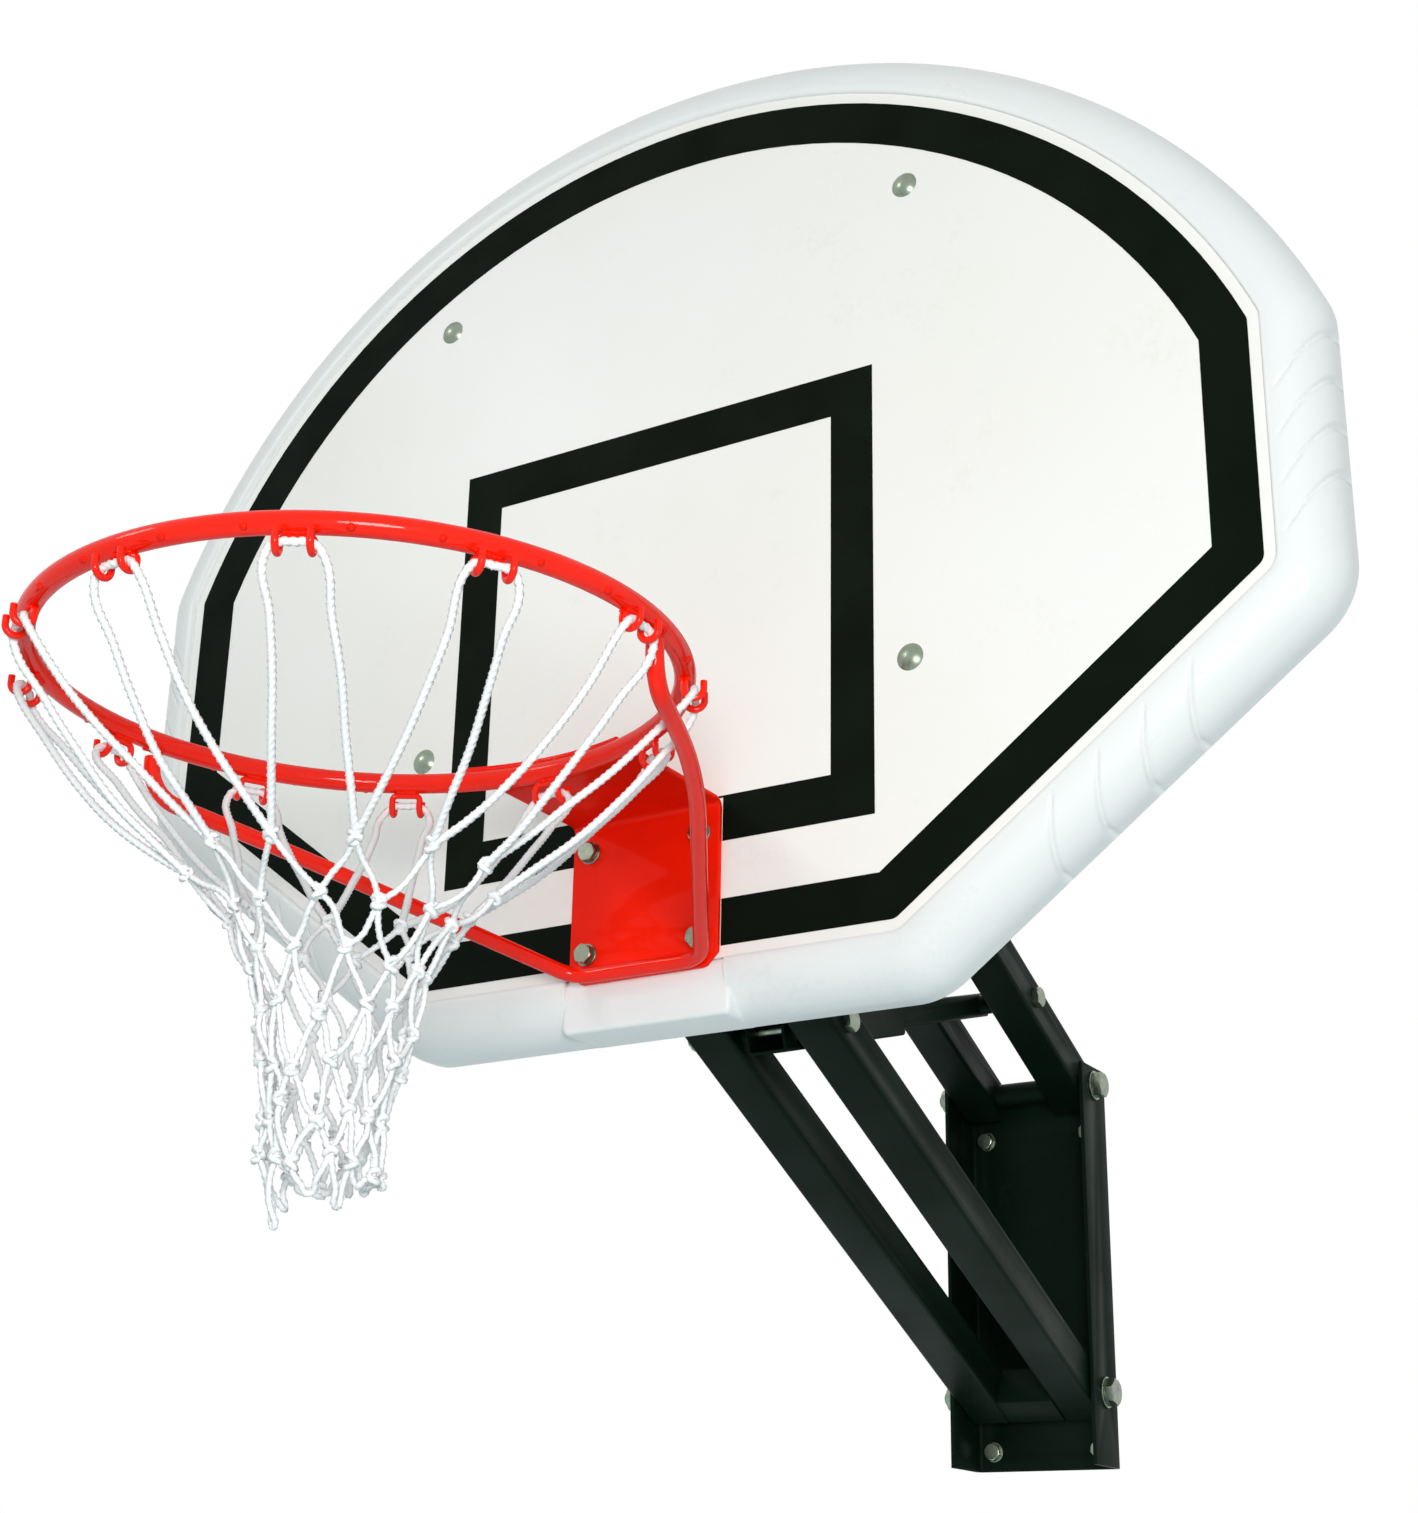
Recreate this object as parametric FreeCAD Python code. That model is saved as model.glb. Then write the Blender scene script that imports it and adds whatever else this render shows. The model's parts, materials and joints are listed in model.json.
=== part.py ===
"""Fan-shaped basketball backboard on a wall bracket that lifts and lowers it.

Origin: centre of the wall bolt pattern, on the wall face of the bracket.
+X is right seen from the court, +Y points into the wall, +Z is up. Millimetres and degrees.
"""
import FreeCAD, Part
import math
import os
from FreeCAD import Vector

# Lifting linkage
ARM_LENGTH = 757.0
ARM_ANGLE = 25.8
ARM_WIDTH = 44.0
ARM_HEIGHT = 40.0
ARM_WALL = 3.0
ARM_EDGE_RADIUS = 4.0
ARM_OVERHANG = 18.0
ARM_GAP = 62.0
PIVOT_SPACING = 320.0
PIVOT_STANDOFF = 34.0
LOWER_PIVOT_DROP = 112.0
PIVOT_BOLT_RADIUS = 8.0
BUSH_WALL = 3.0
RUNNING_GAP = 0.06
BOLT_HOLE_GAP = 0.3
THRUST_WASHER_THICKNESS = 2.0
THRUST_WASHER_RADIUS = 15.0
SPACER_WALL = 4.0

# Hexagon heads and nuts, as multiples of the bolt radius
HEX_RADIUS_FACTOR = 1.8
HEAD_HEIGHT_FACTOR = 1.25
NUT_HEIGHT_FACTOR = 1.6
WASHER_RADIUS_FACTOR = 1.95
WASHER_THICKNESS = 2.0
THREAD_END = 4.0

# Wall channel
SHEET = 4.0
BEND_RADIUS = 8.0
WALL_CHANNEL_DEPTH = 66.0
WALL_CHANNEL_ABOVE = 20.0
WALL_CHANNEL_BELOW = 73.0
WALL_BOLT_SPAN_X = 120.0
WALL_BOLT_SPAN_Z = 330.0
WALL_BOLT_RADIUS = 5.0
WALL_SHANK_STEP = 0.2
WALL_STUD_LENGTH = 28.0

# Diagonal adjuster between the lower and the upper arms
ADJUSTER_FROM_PIVOT = 150.0
ADJUSTER_BOLT_RADIUS = 6.0
TUBE_SIZE = 40.0
TUBE_WALL = 3.0
TUBE_EDGE_RADIUS = 3.5
TUBE_REACH = 225.0
TUBE_OVERHANG = 18.0
BAR_SIZE = 25.0
BAR_WALL = 2.5
BAR_EDGE_RADIUS = 2.0
BAR_END_GAP = 54.0
BAR_OVERHANG = 16.0
SIDE_GAP = 0.3
CLAMP_FROM_END = 22.0
CLAMP_BOSS_RADIUS = 11.0
CLAMP_BOSS_HEIGHT = 12.0
CLAMP_SCREW_RADIUS = 5.0
KNOB_RADIUS = 20.0
KNOB_HEIGHT = 18.0
KNOB_STANDOFF = 6.0
KNOB_LOBES = 5
KNOB_LOBE_RADIUS = 7.0

# Board face: heights are measured from the centre of the target rectangle
PANEL_THICKNESS = 12.0
PIVOT_BEHIND_PANEL = 67.5
TARGET_ABOVE_PIVOT = 242.5
LINE_WIDTH = 40.0
LINE_THICKNESS = 0.4
LINE_HALF_WIDTH = 545.0
LINE_TOP = 515.0
LINE_SIDE_TOP = 150.0
LINE_SIDE_LOW = -59.0
LINE_BOTTOM = -295.0
LINE_BOTTOM_HALF_WIDTH = 232.0
LINE_CORNER_RADIUS = 12.0
TARGET_WIDTH = 430.0
TARGET_HEIGHT = 410.0

# Moulded border: offsets outward from the boundary line's outer edge
LIP_OFFSET = 10.0
LIP_HEIGHT = 3.0
LIP_COVER = 12.0
CREST_OFFSET = 16.0
CREST_HEIGHT = 4.0
BORDER_OFFSET = 57.0
BORDER_DEPTH = 50.0
BORDER_WALL = 4.0
PANEL_SEAT_DEPTH = 14.0
PANEL_EDGE_GAP = 0.2
GROOVE_COUNT = 4
GROOVE_WIDTH = 4.0
GROOVE_DEPTH = 1.6
GROOVE_LEAN_SIDE = 54.0
GROOVE_LEAN_DIAGONAL = 45.0
GROOVE_PITCH_SIDE = 41.0
GROOVE_PITCH_DIAGONAL = 48.5
GROOVE_SHIFT_SIDE = -50.0
GROOVE_SHIFT_DIAGONAL = 52.0
PAD_HALF_WIDTH = 78.0
PAD_POCKETS = 3

# Frame behind the board
BOARD_CHANNEL_TOP = 402.0
BOARD_CHANNEL_ABOVE_PAD = 1.0
BOARD_CHANNEL_BEHIND_PIVOT = 22.0
RAIL_HEIGHT = 40.0
RAIL_DEPTH = 25.0
RAIL_WALL = 2.5
RAIL_REACH = 275.0
BOARD_BOLT_X = 248.0
BOARD_BOLT_ROWS = (376.0, -76.0)
BOARD_BOLT_RADIUS = 5.0
BOARD_BOLT_HEAD_RADIUS = 12.0
BOARD_BOLT_HEAD_HEIGHT = 5.5

# Goal
RING_INNER_RADIUS = 225.0
RING_ROD_RADIUS = 8.0
RING_FROM_BOARD = 157.0
RING_HEIGHT = -180.0
GOAL_PLATE_WIDTH = 146.0
GOAL_PLATE_BOTTOM = -312.0
GOAL_PLATE_THICKNESS = 5.0
GOAL_BEND_RADIUS = 10.0
GOAL_CORNER_CUT = 12.0
GOAL_BOLT_SPAN_X = 110.0
GOAL_BOLT_SPAN_Z = 90.0
GOAL_BOLT_ABOVE_BOTTOM = 25.0
GOAL_BOLT_RADIUS = 5.0
BRACE_RADIUS = 6.5
BRACE_FOOT_HALF_WIDTH = 62.0
BRACE_FOOT_ABOVE_BOTTOM = 5.0
BRACE_BEND = (235.0, -313.0, -216.0)
BRACE_RING_ANGLE = 8.0
BRACE_BEND_RADIUS = 24.0
BRACE_END_LIFT = 0.8

# Net hooks, bent from wire and welded under the ring
HOOK_COUNT = 12
HOOK_WIRE_RADIUS = 2.5
HOOK_HALF_SPAN = 11.0
HOOK_TURN_RADIUS = 7.0
HOOK_SHOULDER_RADIUS = 4.0
HOOK_DROP = 24.0
HOOK_LIP_DROP = 11.0

# Net: depth below the ring's plane and radius of each row of knots
CORD_HALF_WIDTH = 2.75
NET_LOOP_HALF_WIDTH = 17.2
NET_LENGTH = 398.0
NET_TOP_RADIUS = 100.0
NET_ROW_SHARES = ((0.447, 1.0), (0.568, 0.64), (0.683, 0.52), (0.794, 0.46), (0.900, 0.42), (1.0, 0.39))

# Worked out from the values above
ORIGIN = Vector(0, 0, 0)
X_AXIS = Vector(1, 0, 0)
Y_AXIS = Vector(0, 1, 0)
Z_AXIS = Vector(0, 0, 1)
ARM_RUN = ARM_LENGTH * math.cos(math.radians(ARM_ANGLE))
ARM_RISE = ARM_LENGTH * math.sin(math.radians(ARM_ANGLE))
ARM_CENTRE_X = (ARM_GAP + ARM_WIDTH) / 2
ARM_OUTER_X = ARM_GAP / 2 + ARM_WIDTH
CHANNEL_INNER_X = ARM_OUTER_X + THRUST_WASHER_THICKNESS
CHANNEL_OUTER_X = CHANNEL_INNER_X + SHEET
BUSH_RADIUS = PIVOT_BOLT_RADIUS + BUSH_WALL
WALL_PIVOTS = (
    Vector(0, -PIVOT_STANDOFF, -LOWER_PIVOT_DROP),
    Vector(0, -PIVOT_STANDOFF, PIVOT_SPACING - LOWER_PIVOT_DROP),
)
BOARD_PIVOTS = tuple(pivot + Vector(0, -ARM_RUN, ARM_RISE) for pivot in WALL_PIVOTS)
BOARD_ORIGIN = BOARD_PIVOTS[0] + Vector(0, -PIVOT_BEHIND_PANEL - PANEL_THICKNESS, TARGET_ABOVE_PIVOT)
ARM_DIRECTION = Vector(0, -ARM_RUN, ARM_RISE) / ARM_LENGTH
ADJUSTER_FOOT = WALL_PIVOTS[0] + ARM_DIRECTION * (ARM_LENGTH - ADJUSTER_FROM_PIVOT)
ADJUSTER_HEAD = WALL_PIVOTS[1] + ARM_DIRECTION * ADJUSTER_FROM_PIVOT
ADJUSTER_LINE = ADJUSTER_HEAD - ADJUSTER_FOOT
ADJUSTER_ANGLE = math.degrees(math.atan2(ADJUSTER_LINE.z, ADJUSTER_LINE.y))
BAR_REACH = ADJUSTER_LINE.Length - BAR_END_GAP
WALL_SHANK_RADIUS = WALL_BOLT_RADIUS + WALL_SHANK_STEP
RING_RADIUS = RING_INNER_RADIUS + RING_ROD_RADIUS
RING_CENTRE = Vector(0, -RING_FROM_BOARD - RING_INNER_RADIUS, RING_HEIGHT)
SHELF_UNDERSIDE = RING_HEIGHT + RING_ROD_RADIUS
GOAL_PLATE_TOP = SHELF_UNDERSIDE + GOAL_PLATE_THICKNESS
GOAL_BOLT_POINTS = [
    (sx * GOAL_BOLT_SPAN_X / 2, GOAL_PLATE_BOTTOM + GOAL_BOLT_ABOVE_BOTTOM + row * GOAL_BOLT_SPAN_Z)
    for sx in (-1, 1)
    for row in (0, 1)
]
BOARD_BOLT_POINTS = [(sx * BOARD_BOLT_X, row) for sx in (-1, 1) for row in BOARD_BOLT_ROWS]
NET_LOOP_DROP = HOOK_DROP - HOOK_TURN_RADIUS
NET_ROWS = [(NET_LENGTH * fall, NET_TOP_RADIUS * reach) for fall, reach in NET_ROW_SHARES]
PAD_TOP = LINE_BOTTOM - LIP_OFFSET
BOARD_CHANNEL_BOTTOM = PAD_TOP + BOARD_CHANNEL_ABOVE_PAD


def box(x_range, y_range, z_range):
    """Box between pairs of limits along the three axes."""
    size = [limits[1] - limits[0] for limits in (x_range, y_range, z_range)]
    return Part.makeBox(*size, Vector(x_range[0], y_range[0], z_range[0]))


def rod(radius, start, end):
    """Round bar from one point to another."""
    along = end - start
    return Part.makeCylinder(radius, along.Length, start, along)


def sleeve(outer_radius, inner_radius, start, end):
    """Round tube from one point to another."""
    return rod(outer_radius, start, end).cut(rod(inner_radius, start, end))


def hexagon(radius, start, end):
    """Hexagonal bar from one point to another, with its corners at the radius."""
    along = end - start
    side = along.cross(Z_AXIS)
    if side.Length < 1e-6:
        side = Vector(X_AXIS)
    side.normalize()
    other = along.cross(side)
    other.normalize()
    turns = [math.radians(60 * step) for step in range(7)]
    points = [start + side * (radius * math.cos(turn)) + other * (radius * math.sin(turn)) for turn in turns]
    return Part.Face(Part.makePolygon(points)).extrude(along)


def hex_bolt(radius, seat, tip):
    """Hexagon-head bolt whose head sits outside the seat and whose shank runs to the tip."""
    outward = seat - tip
    outward.normalize()
    head = hexagon(radius * HEX_RADIUS_FACTOR, seat, seat + outward * (radius * HEAD_HEIGHT_FACTOR))
    return head.fuse(rod(radius, seat, tip)).removeSplitter()


def hex_nut(radius, seat, outward):
    """Hexagon nut that sits on the seat, round a bolt of the given radius."""
    end = seat + outward * (radius * NUT_HEIGHT_FACTOR)
    return hexagon(radius * HEX_RADIUS_FACTOR, seat, end).cut(rod(radius + RUNNING_GAP, seat, end))


def flat_washer(radius, seat, outward):
    """Washer that sits on the seat, round a bolt of the given radius."""
    end = seat + outward * WASHER_THICKNESS
    return sleeve(radius * WASHER_RADIUS_FACTOR, radius + RUNNING_GAP, seat, end)


def nut_height(radius):
    """Length of bolt that a nut and the thread end past it need."""
    return radius * NUT_HEIGHT_FACTOR + THREAD_END


def bar_with_round_edges(x_range, y_range, z_range, radius):
    """Bar along Y with its four long edges rounded."""
    block = box(x_range, y_range, z_range)
    edges = [edge for edge in block.Edges if abs(edge.tangentAt(edge.FirstParameter).y) > 0.99]
    return block.makeFillet(radius, edges)


def square_tube(half_x, half_z, wall, y_range, radius):
    """Square tube along Y with rounded outer edges, open at both ends."""
    outer = bar_with_round_edges((-half_x, half_x), y_range, (-half_z, half_z), radius)
    inner = box((wall - half_x, half_x - wall), y_range, (wall - half_z, half_z - wall))
    return outer.cut(inner)


def turned(shape, angle, place):
    """Shape turned about the X axis and moved to its place."""
    shape.rotate(ORIGIN, X_AXIS, angle)
    shape.translate(place)
    return shape


def corner_arc(before, corner, after, radius):
    """Tangent arc of the given radius between two straight runs that meet at a corner."""
    to_before = (before - corner).normalize()
    to_after = (after - corner).normalize()
    half = to_before.getAngle(to_after) / 2
    middle = (to_before + to_after).normalize()
    centre = corner + middle * (radius / math.sin(half))
    reach = radius / math.tan(half)
    return Part.Arc(corner + to_before * reach, centre - middle * radius, corner + to_after * reach)


def bent_path(points, radii):
    """Wire through the points, with an arc of the given radius at each inner point."""
    edges = []
    last = points[0]
    for index, radius in enumerate(radii):
        arc = corner_arc(points[index], points[index + 1], points[index + 2], radius)
        if (arc.StartPoint - last).Length > 1e-4:
            edges.append(Part.LineSegment(last, arc.StartPoint).toShape())
        edges.append(arc.toShape())
        last = arc.EndPoint
    if (points[-1] - last).Length > 1e-4:
        edges.append(Part.LineSegment(last, points[-1]).toShape())
    return Part.Wire(edges)


def bent_rod(points, radii, rod_radius):
    """Round wire bent along the points."""
    path = bent_path(points, radii)
    section = Part.Wire(Part.makeCircle(rod_radius, points[0], points[1] - points[0]))
    return path.makePipeShell([section], True, False)


def closed_outline(points, radii):
    """Closed wire through the points, with an arc at each point whose radius is over zero."""
    edges = []
    count = len(points)
    ends = []
    for index, radius in enumerate(radii):
        corner = points[index]
        if radius > 0:
            arc = corner_arc(points[index - 1], corner, points[(index + 1) % count], radius)
            ends.append((arc.StartPoint, arc.EndPoint))
            edges.append(arc.toShape())
        else:
            ends.append((corner, corner))
    for index in range(count):
        start = ends[index][1]
        end = ends[(index + 1) % count][0]
        if (end - start).Length > 1e-4:
            edges.append(Part.LineSegment(start, end).toShape())
    return Part.Wire(Part.__sortEdges__(edges))


def folded_channel(depth, z_range, web_y, flange_sign):
    """Channel folded from sheet: web across X, flanges along Y from the web."""
    outer = CHANNEL_OUTER_X
    inner = CHANNEL_INNER_X
    tip = web_y + flange_sign * depth
    inside = web_y + flange_sign * SHEET
    corners = [
        (-outer, tip), (-outer, web_y), (outer, web_y), (outer, tip),
        (inner, tip), (inner, inside), (-inner, inside), (-inner, tip),
    ]
    points = [Vector(x, y, z_range[0]) for x, y in corners]
    inner_bend = BEND_RADIUS - SHEET
    radii = [0, BEND_RADIUS, BEND_RADIUS, 0, 0, inner_bend, inner_bend, 0]
    profile = Part.Face(closed_outline(points, radii))
    return profile.extrude(Vector(0, 0, z_range[1] - z_range[0]))


def cross_hole(radius, point):
    """Hole tool right across the part along X, through a point."""
    reach = CHANNEL_OUTER_X * 2
    return rod(radius, Vector(-reach, point.y, point.z), Vector(reach, point.y, point.z))


def at_x(x, point):
    """The point moved sideways to a given X."""
    return Vector(x, point.y, point.z)


def fan_wire(offset, y):
    """Outline of the fan-shaped board, offset outward from the boundary line's outer edge."""
    core = -LINE_CORNER_RADIUS
    diagonal = Vector(LINE_HALF_WIDTH - LINE_BOTTOM_HALF_WIDTH, 0, LINE_SIDE_LOW - LINE_BOTTOM).normalize()
    outward = Vector(diagonal.z, 0, -diagonal.x)
    start = Vector(LINE_BOTTOM_HALF_WIDTH, 0, LINE_BOTTOM) + outward * core
    bottom_z = LINE_BOTTOM - core
    side_x = LINE_HALF_WIDTH + core
    foot = start + diagonal * ((bottom_z - start.z) / diagonal.z)
    hip = start + diagonal * ((side_x - start.x) / diagonal.x)
    rise = LINE_TOP - LINE_SIDE_TOP
    top_radius = (LINE_HALF_WIDTH ** 2 + rise ** 2) / (2 * rise)
    centre_z = LINE_TOP - top_radius
    core_radius = top_radius + core
    shoulder = Vector(side_x, 0, centre_z + math.sqrt(core_radius ** 2 - side_x ** 2))
    crown = Vector(0, 0, centre_z + core_radius)
    foot_left, hip_left, shoulder_left = (Vector(-point.x, 0, point.z) for point in (foot, hip, shoulder))
    edges = [
        Part.makeLine(foot_left, foot),
        Part.makeLine(foot, hip),
        Part.makeLine(hip, shoulder),
        Part.Arc(shoulder, crown, shoulder_left).toShape(),
        Part.makeLine(shoulder_left, hip_left),
        Part.makeLine(hip_left, foot_left),
    ]
    wire = Part.Wire(edges).makeOffset2D(offset - core)
    wire.translate(Vector(0, y, 0))
    return wire


def fan_slab(offset, y_range):
    """Solid fan between two depths."""
    face = Part.Face(fan_wire(offset, y_range[0]))
    return face.extrude(Vector(0, y_range[1] - y_range[0], 0))


def border_sweep(section):
    """Section of (offset, depth) points and arcs swept round the board."""
    path = Part.Wire(Part.__sortEdges__(fan_wire(LIP_OFFSET, 0).Edges))
    first = path.OrderedEdges[0]
    start = path.OrderedVertexes[0].Point
    param = first.FirstParameter
    if (first.valueAt(param) - start).Length > 1e-4:
        param = first.LastParameter
    along = first.tangentAt(param)
    outward = Vector(along.z, 0, -along.x).normalize()
    middle = Vector(0, 0, (LINE_TOP + LINE_BOTTOM) / 2)
    if outward.dot(start - middle) < 0:
        outward = outward * -1

    def spot(point):
        return start + outward * (point[0] - LIP_OFFSET) + Vector(0, point[1], 0)

    edges = []
    for piece in section:
        if len(piece) == 2:
            edges.append(Part.makeLine(spot(piece[0]), spot(piece[1])))
        else:
            edges.append(Part.Arc(*[spot(point) for point in piece]).toShape())
    return path.makePipeShell([Part.Wire(edges)], True, False)


def roll_arc(shrink, start_offset):
    """Arc of the border's rolled edge, made smaller by a wall, from an offset out to the side."""
    radius = BORDER_OFFSET - CREST_OFFSET - shrink
    centre = (CREST_OFFSET, BORDER_OFFSET - CREST_OFFSET - CREST_HEIGHT)
    first = math.asin((start_offset - CREST_OFFSET) / radius)
    turns = (first, (first + math.pi / 2) / 2, math.pi / 2)
    return [(centre[0] + radius * math.sin(turn), centre[1] - radius * math.cos(turn)) for turn in turns]


def border_frame():
    """Moulded border: lip over the panel's edge, rolled outer edge, open back, grooves and a flat pad."""
    seat = LIP_OFFSET + LIP_COVER
    outer = roll_arc(0, CREST_OFFSET)
    inner = roll_arc(BORDER_WALL, seat + BORDER_WALL)
    section = [
        ((LIP_OFFSET, 0), (LIP_OFFSET, -LIP_HEIGHT)),
        ((LIP_OFFSET, -LIP_HEIGHT), outer[0]),
        tuple(outer),
        (outer[2], (BORDER_OFFSET, BORDER_DEPTH)),
        ((BORDER_OFFSET, BORDER_DEPTH), (BORDER_OFFSET - BORDER_WALL, BORDER_DEPTH)),
        ((BORDER_OFFSET - BORDER_WALL, BORDER_DEPTH), inner[2]),
        (inner[2], inner[1], inner[0]),
        (inner[0], (seat + BORDER_WALL, PANEL_SEAT_DEPTH)),
        ((seat + BORDER_WALL, PANEL_SEAT_DEPTH), (seat, PANEL_SEAT_DEPTH)),
        ((seat, PANEL_SEAT_DEPTH), (seat, 0)),
        ((seat, 0), (LIP_OFFSET, 0)),
    ]
    frame = border_sweep(section)
    frame = frame.cut(groove_tools())
    frame = frame.cut(pad_block((-PAD_HALF_WIDTH, PAD_HALF_WIDTH), -LIP_HEIGHT - CREST_HEIGHT, 0))
    return frame.fuse(pad_shell()).removeSplitter()


def groove_tools():
    """Slanted grooves pressed into the rolled edge, in rows beside the two lower corners."""
    floor = roll_arc(GROOVE_DEPTH, CREST_OFFSET)
    over = roll_arc(-GROOVE_DEPTH, CREST_OFFSET)
    skin = border_sweep([
        tuple(over),
        (over[2], floor[2]),
        (floor[2], floor[1], floor[0]),
        (floor[0], over[0]),
    ])
    diagonal = Vector(LINE_HALF_WIDTH - LINE_BOTTOM_HALF_WIDTH, 0, LINE_SIDE_LOW - LINE_BOTTOM)
    slope = math.degrees(math.atan2(diagonal.z, diagonal.x))
    reach = BORDER_OFFSET
    side_middle = Vector(LINE_HALF_WIDTH, 0, (LINE_SIDE_TOP + LINE_SIDE_LOW) / 2)
    corner = Vector(LINE_HALF_WIDTH, 0, LINE_SIDE_LOW)
    diagonal_middle = corner - diagonal * 0.5
    rows = (
        (side_middle, Vector(0, 0, 1), GROOVE_PITCH_SIDE, GROOVE_SHIFT_SIDE, GROOVE_LEAN_SIDE),
        (
            diagonal_middle, diagonal.normalize(), GROOVE_PITCH_DIAGONAL, GROOVE_SHIFT_DIAGONAL,
            slope - 90 - GROOVE_LEAN_DIAGONAL,
        ),
    )
    blades = []
    for middle, along, pitch, shift, heading in rows:
        turn = math.radians(heading)
        direction = Vector(math.cos(turn), 0, math.sin(turn))
        for step in range(GROOVE_COUNT):
            start = middle + along * (shift + pitch * (step - (GROOVE_COUNT - 1) / 2))
            blade = box((0, 2 * reach), (-reach, reach), (-GROOVE_WIDTH / 2, GROOVE_WIDTH / 2))
            blade.rotate(ORIGIN, Y_AXIS, -math.degrees(math.atan2(direction.z, direction.x)))
            blade.translate(start)
            blades.append(blade)
            blades.append(blade.mirror(ORIGIN, X_AXIS))
    return skin.common(Part.makeCompound(blades))


def pad_block(x_range, front, inset):
    """Block under the goal plate, from its front to the border's back."""
    bottom = LINE_BOTTOM - BORDER_OFFSET
    return box(x_range, (front, BORDER_DEPTH), (bottom + inset, PAD_TOP - inset))


def pad_shell():
    """Flat pad that carries the lower edge of the goal plate, with pockets between ribs behind it."""
    half = PAD_HALF_WIDTH + BORDER_WALL
    shell = pad_block((-half, half), 0, 0)
    pitch = (2 * half - BORDER_WALL) / PAD_POCKETS
    for index in range(PAD_POCKETS):
        start = BORDER_WALL - half + index * pitch
        shell = shell.cut(pad_block((start, start + pitch - BORDER_WALL), BORDER_WALL, BORDER_WALL))
    return shell


def board_panel():
    """Flat panel inside the border, with holes for the board bolts and the goal bolts."""
    edge = LIP_OFFSET + LIP_COVER - PANEL_EDGE_GAP
    panel = fan_slab(edge, (0, PANEL_THICKNESS))
    notch = PAD_HALF_WIDTH + BORDER_WALL + PANEL_EDGE_GAP
    notch_top = PAD_TOP + PANEL_EDGE_GAP
    panel = panel.cut(box((-notch, notch), (0, PANEL_THICKNESS), (LINE_BOTTOM - BORDER_OFFSET, notch_top)))
    return panel.cut(board_holes())


def board_holes():
    """Hole tools through the board and what is bolted to it."""
    back = PANEL_THICKNESS + RAIL_DEPTH + SHEET
    tools = []
    for points, radius in ((BOARD_BOLT_POINTS, BOARD_BOLT_RADIUS), (GOAL_BOLT_POINTS, GOAL_BOLT_RADIUS)):
        for x, z in points:
            tools.append(rod(radius + BOLT_HOLE_GAP, Vector(x, -back, z), Vector(x, back, z)))
    return Part.makeCompound(tools)


def plate_clearance():
    """Space that the goal plate needs on the board's face."""
    half = GOAL_PLATE_WIDTH / 2 + BOLT_HOLE_GAP
    z_range = (GOAL_PLATE_BOTTOM, GOAL_PLATE_TOP + BOLT_HOLE_GAP)
    return box((-half, half), (-LINE_THICKNESS * 2, LINE_THICKNESS), z_range)


def boundary_line():
    """Black line round the board's face."""
    depth = (-LINE_THICKNESS, 0)
    line = fan_slab(0, depth).cut(fan_slab(-LINE_WIDTH, depth))
    return line.cut(plate_clearance())


def target_square():
    """Black target rectangle above the ring."""
    half_x = TARGET_WIDTH / 2
    half_z = TARGET_HEIGHT / 2
    depth = (-LINE_THICKNESS, 0)
    outer = box((-half_x, half_x), depth, (-half_z, half_z))
    inner = box((LINE_WIDTH - half_x, half_x - LINE_WIDTH), depth, (LINE_WIDTH - half_z, half_z - LINE_WIDTH))
    return outer.cut(inner).cut(plate_clearance())


def board_channel():
    """Upright channel behind the board, with the arms' board pivots."""
    depth = PIVOT_BEHIND_PANEL + BOARD_CHANNEL_BEHIND_PIVOT
    channel = folded_channel(depth, (BOARD_CHANNEL_BOTTOM, BOARD_CHANNEL_TOP), PANEL_THICKNESS, 1)
    for pivot in BOARD_PIVOTS:
        channel = channel.cut(cross_hole(PIVOT_BOLT_RADIUS + RUNNING_GAP, pivot - BOARD_ORIGIN))
    return channel.cut(board_holes())


def cross_rail(side, row):
    """Rectangular tube from the upright channel out to a board bolt."""
    y_range = (PANEL_THICKNESS, PANEL_THICKNESS + RAIL_DEPTH)
    x_range = sorted((side * CHANNEL_OUTER_X, side * RAIL_REACH))
    outer = box(x_range, y_range, (row - RAIL_HEIGHT / 2, row + RAIL_HEIGHT / 2))
    inner_y = (y_range[0] + RAIL_WALL, y_range[1] - RAIL_WALL)
    inner_z = (row - RAIL_HEIGHT / 2 + RAIL_WALL, row + RAIL_HEIGHT / 2 - RAIL_WALL)
    return outer.cut(box(x_range, inner_y, inner_z)).cut(board_holes())


def mushroom_bolt(x, z):
    """Round-head bolt through the panel and a rail."""
    seat = Vector(x, 0, z)
    tip_y = PANEL_THICKNESS + RAIL_DEPTH + WASHER_THICKNESS + nut_height(BOARD_BOLT_RADIUS)
    height = BOARD_BOLT_HEAD_HEIGHT
    dome_radius = (BOARD_BOLT_HEAD_RADIUS ** 2 + height ** 2) / (2 * height)
    dome = Part.makeSphere(dome_radius, seat + Y_AXIS * (dome_radius - height))
    head = dome.common(rod(BOARD_BOLT_HEAD_RADIUS, seat - Y_AXIS * height, seat))
    return head.fuse(rod(BOARD_BOLT_RADIUS, seat, Vector(x, tip_y, z))).removeSplitter()


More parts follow.
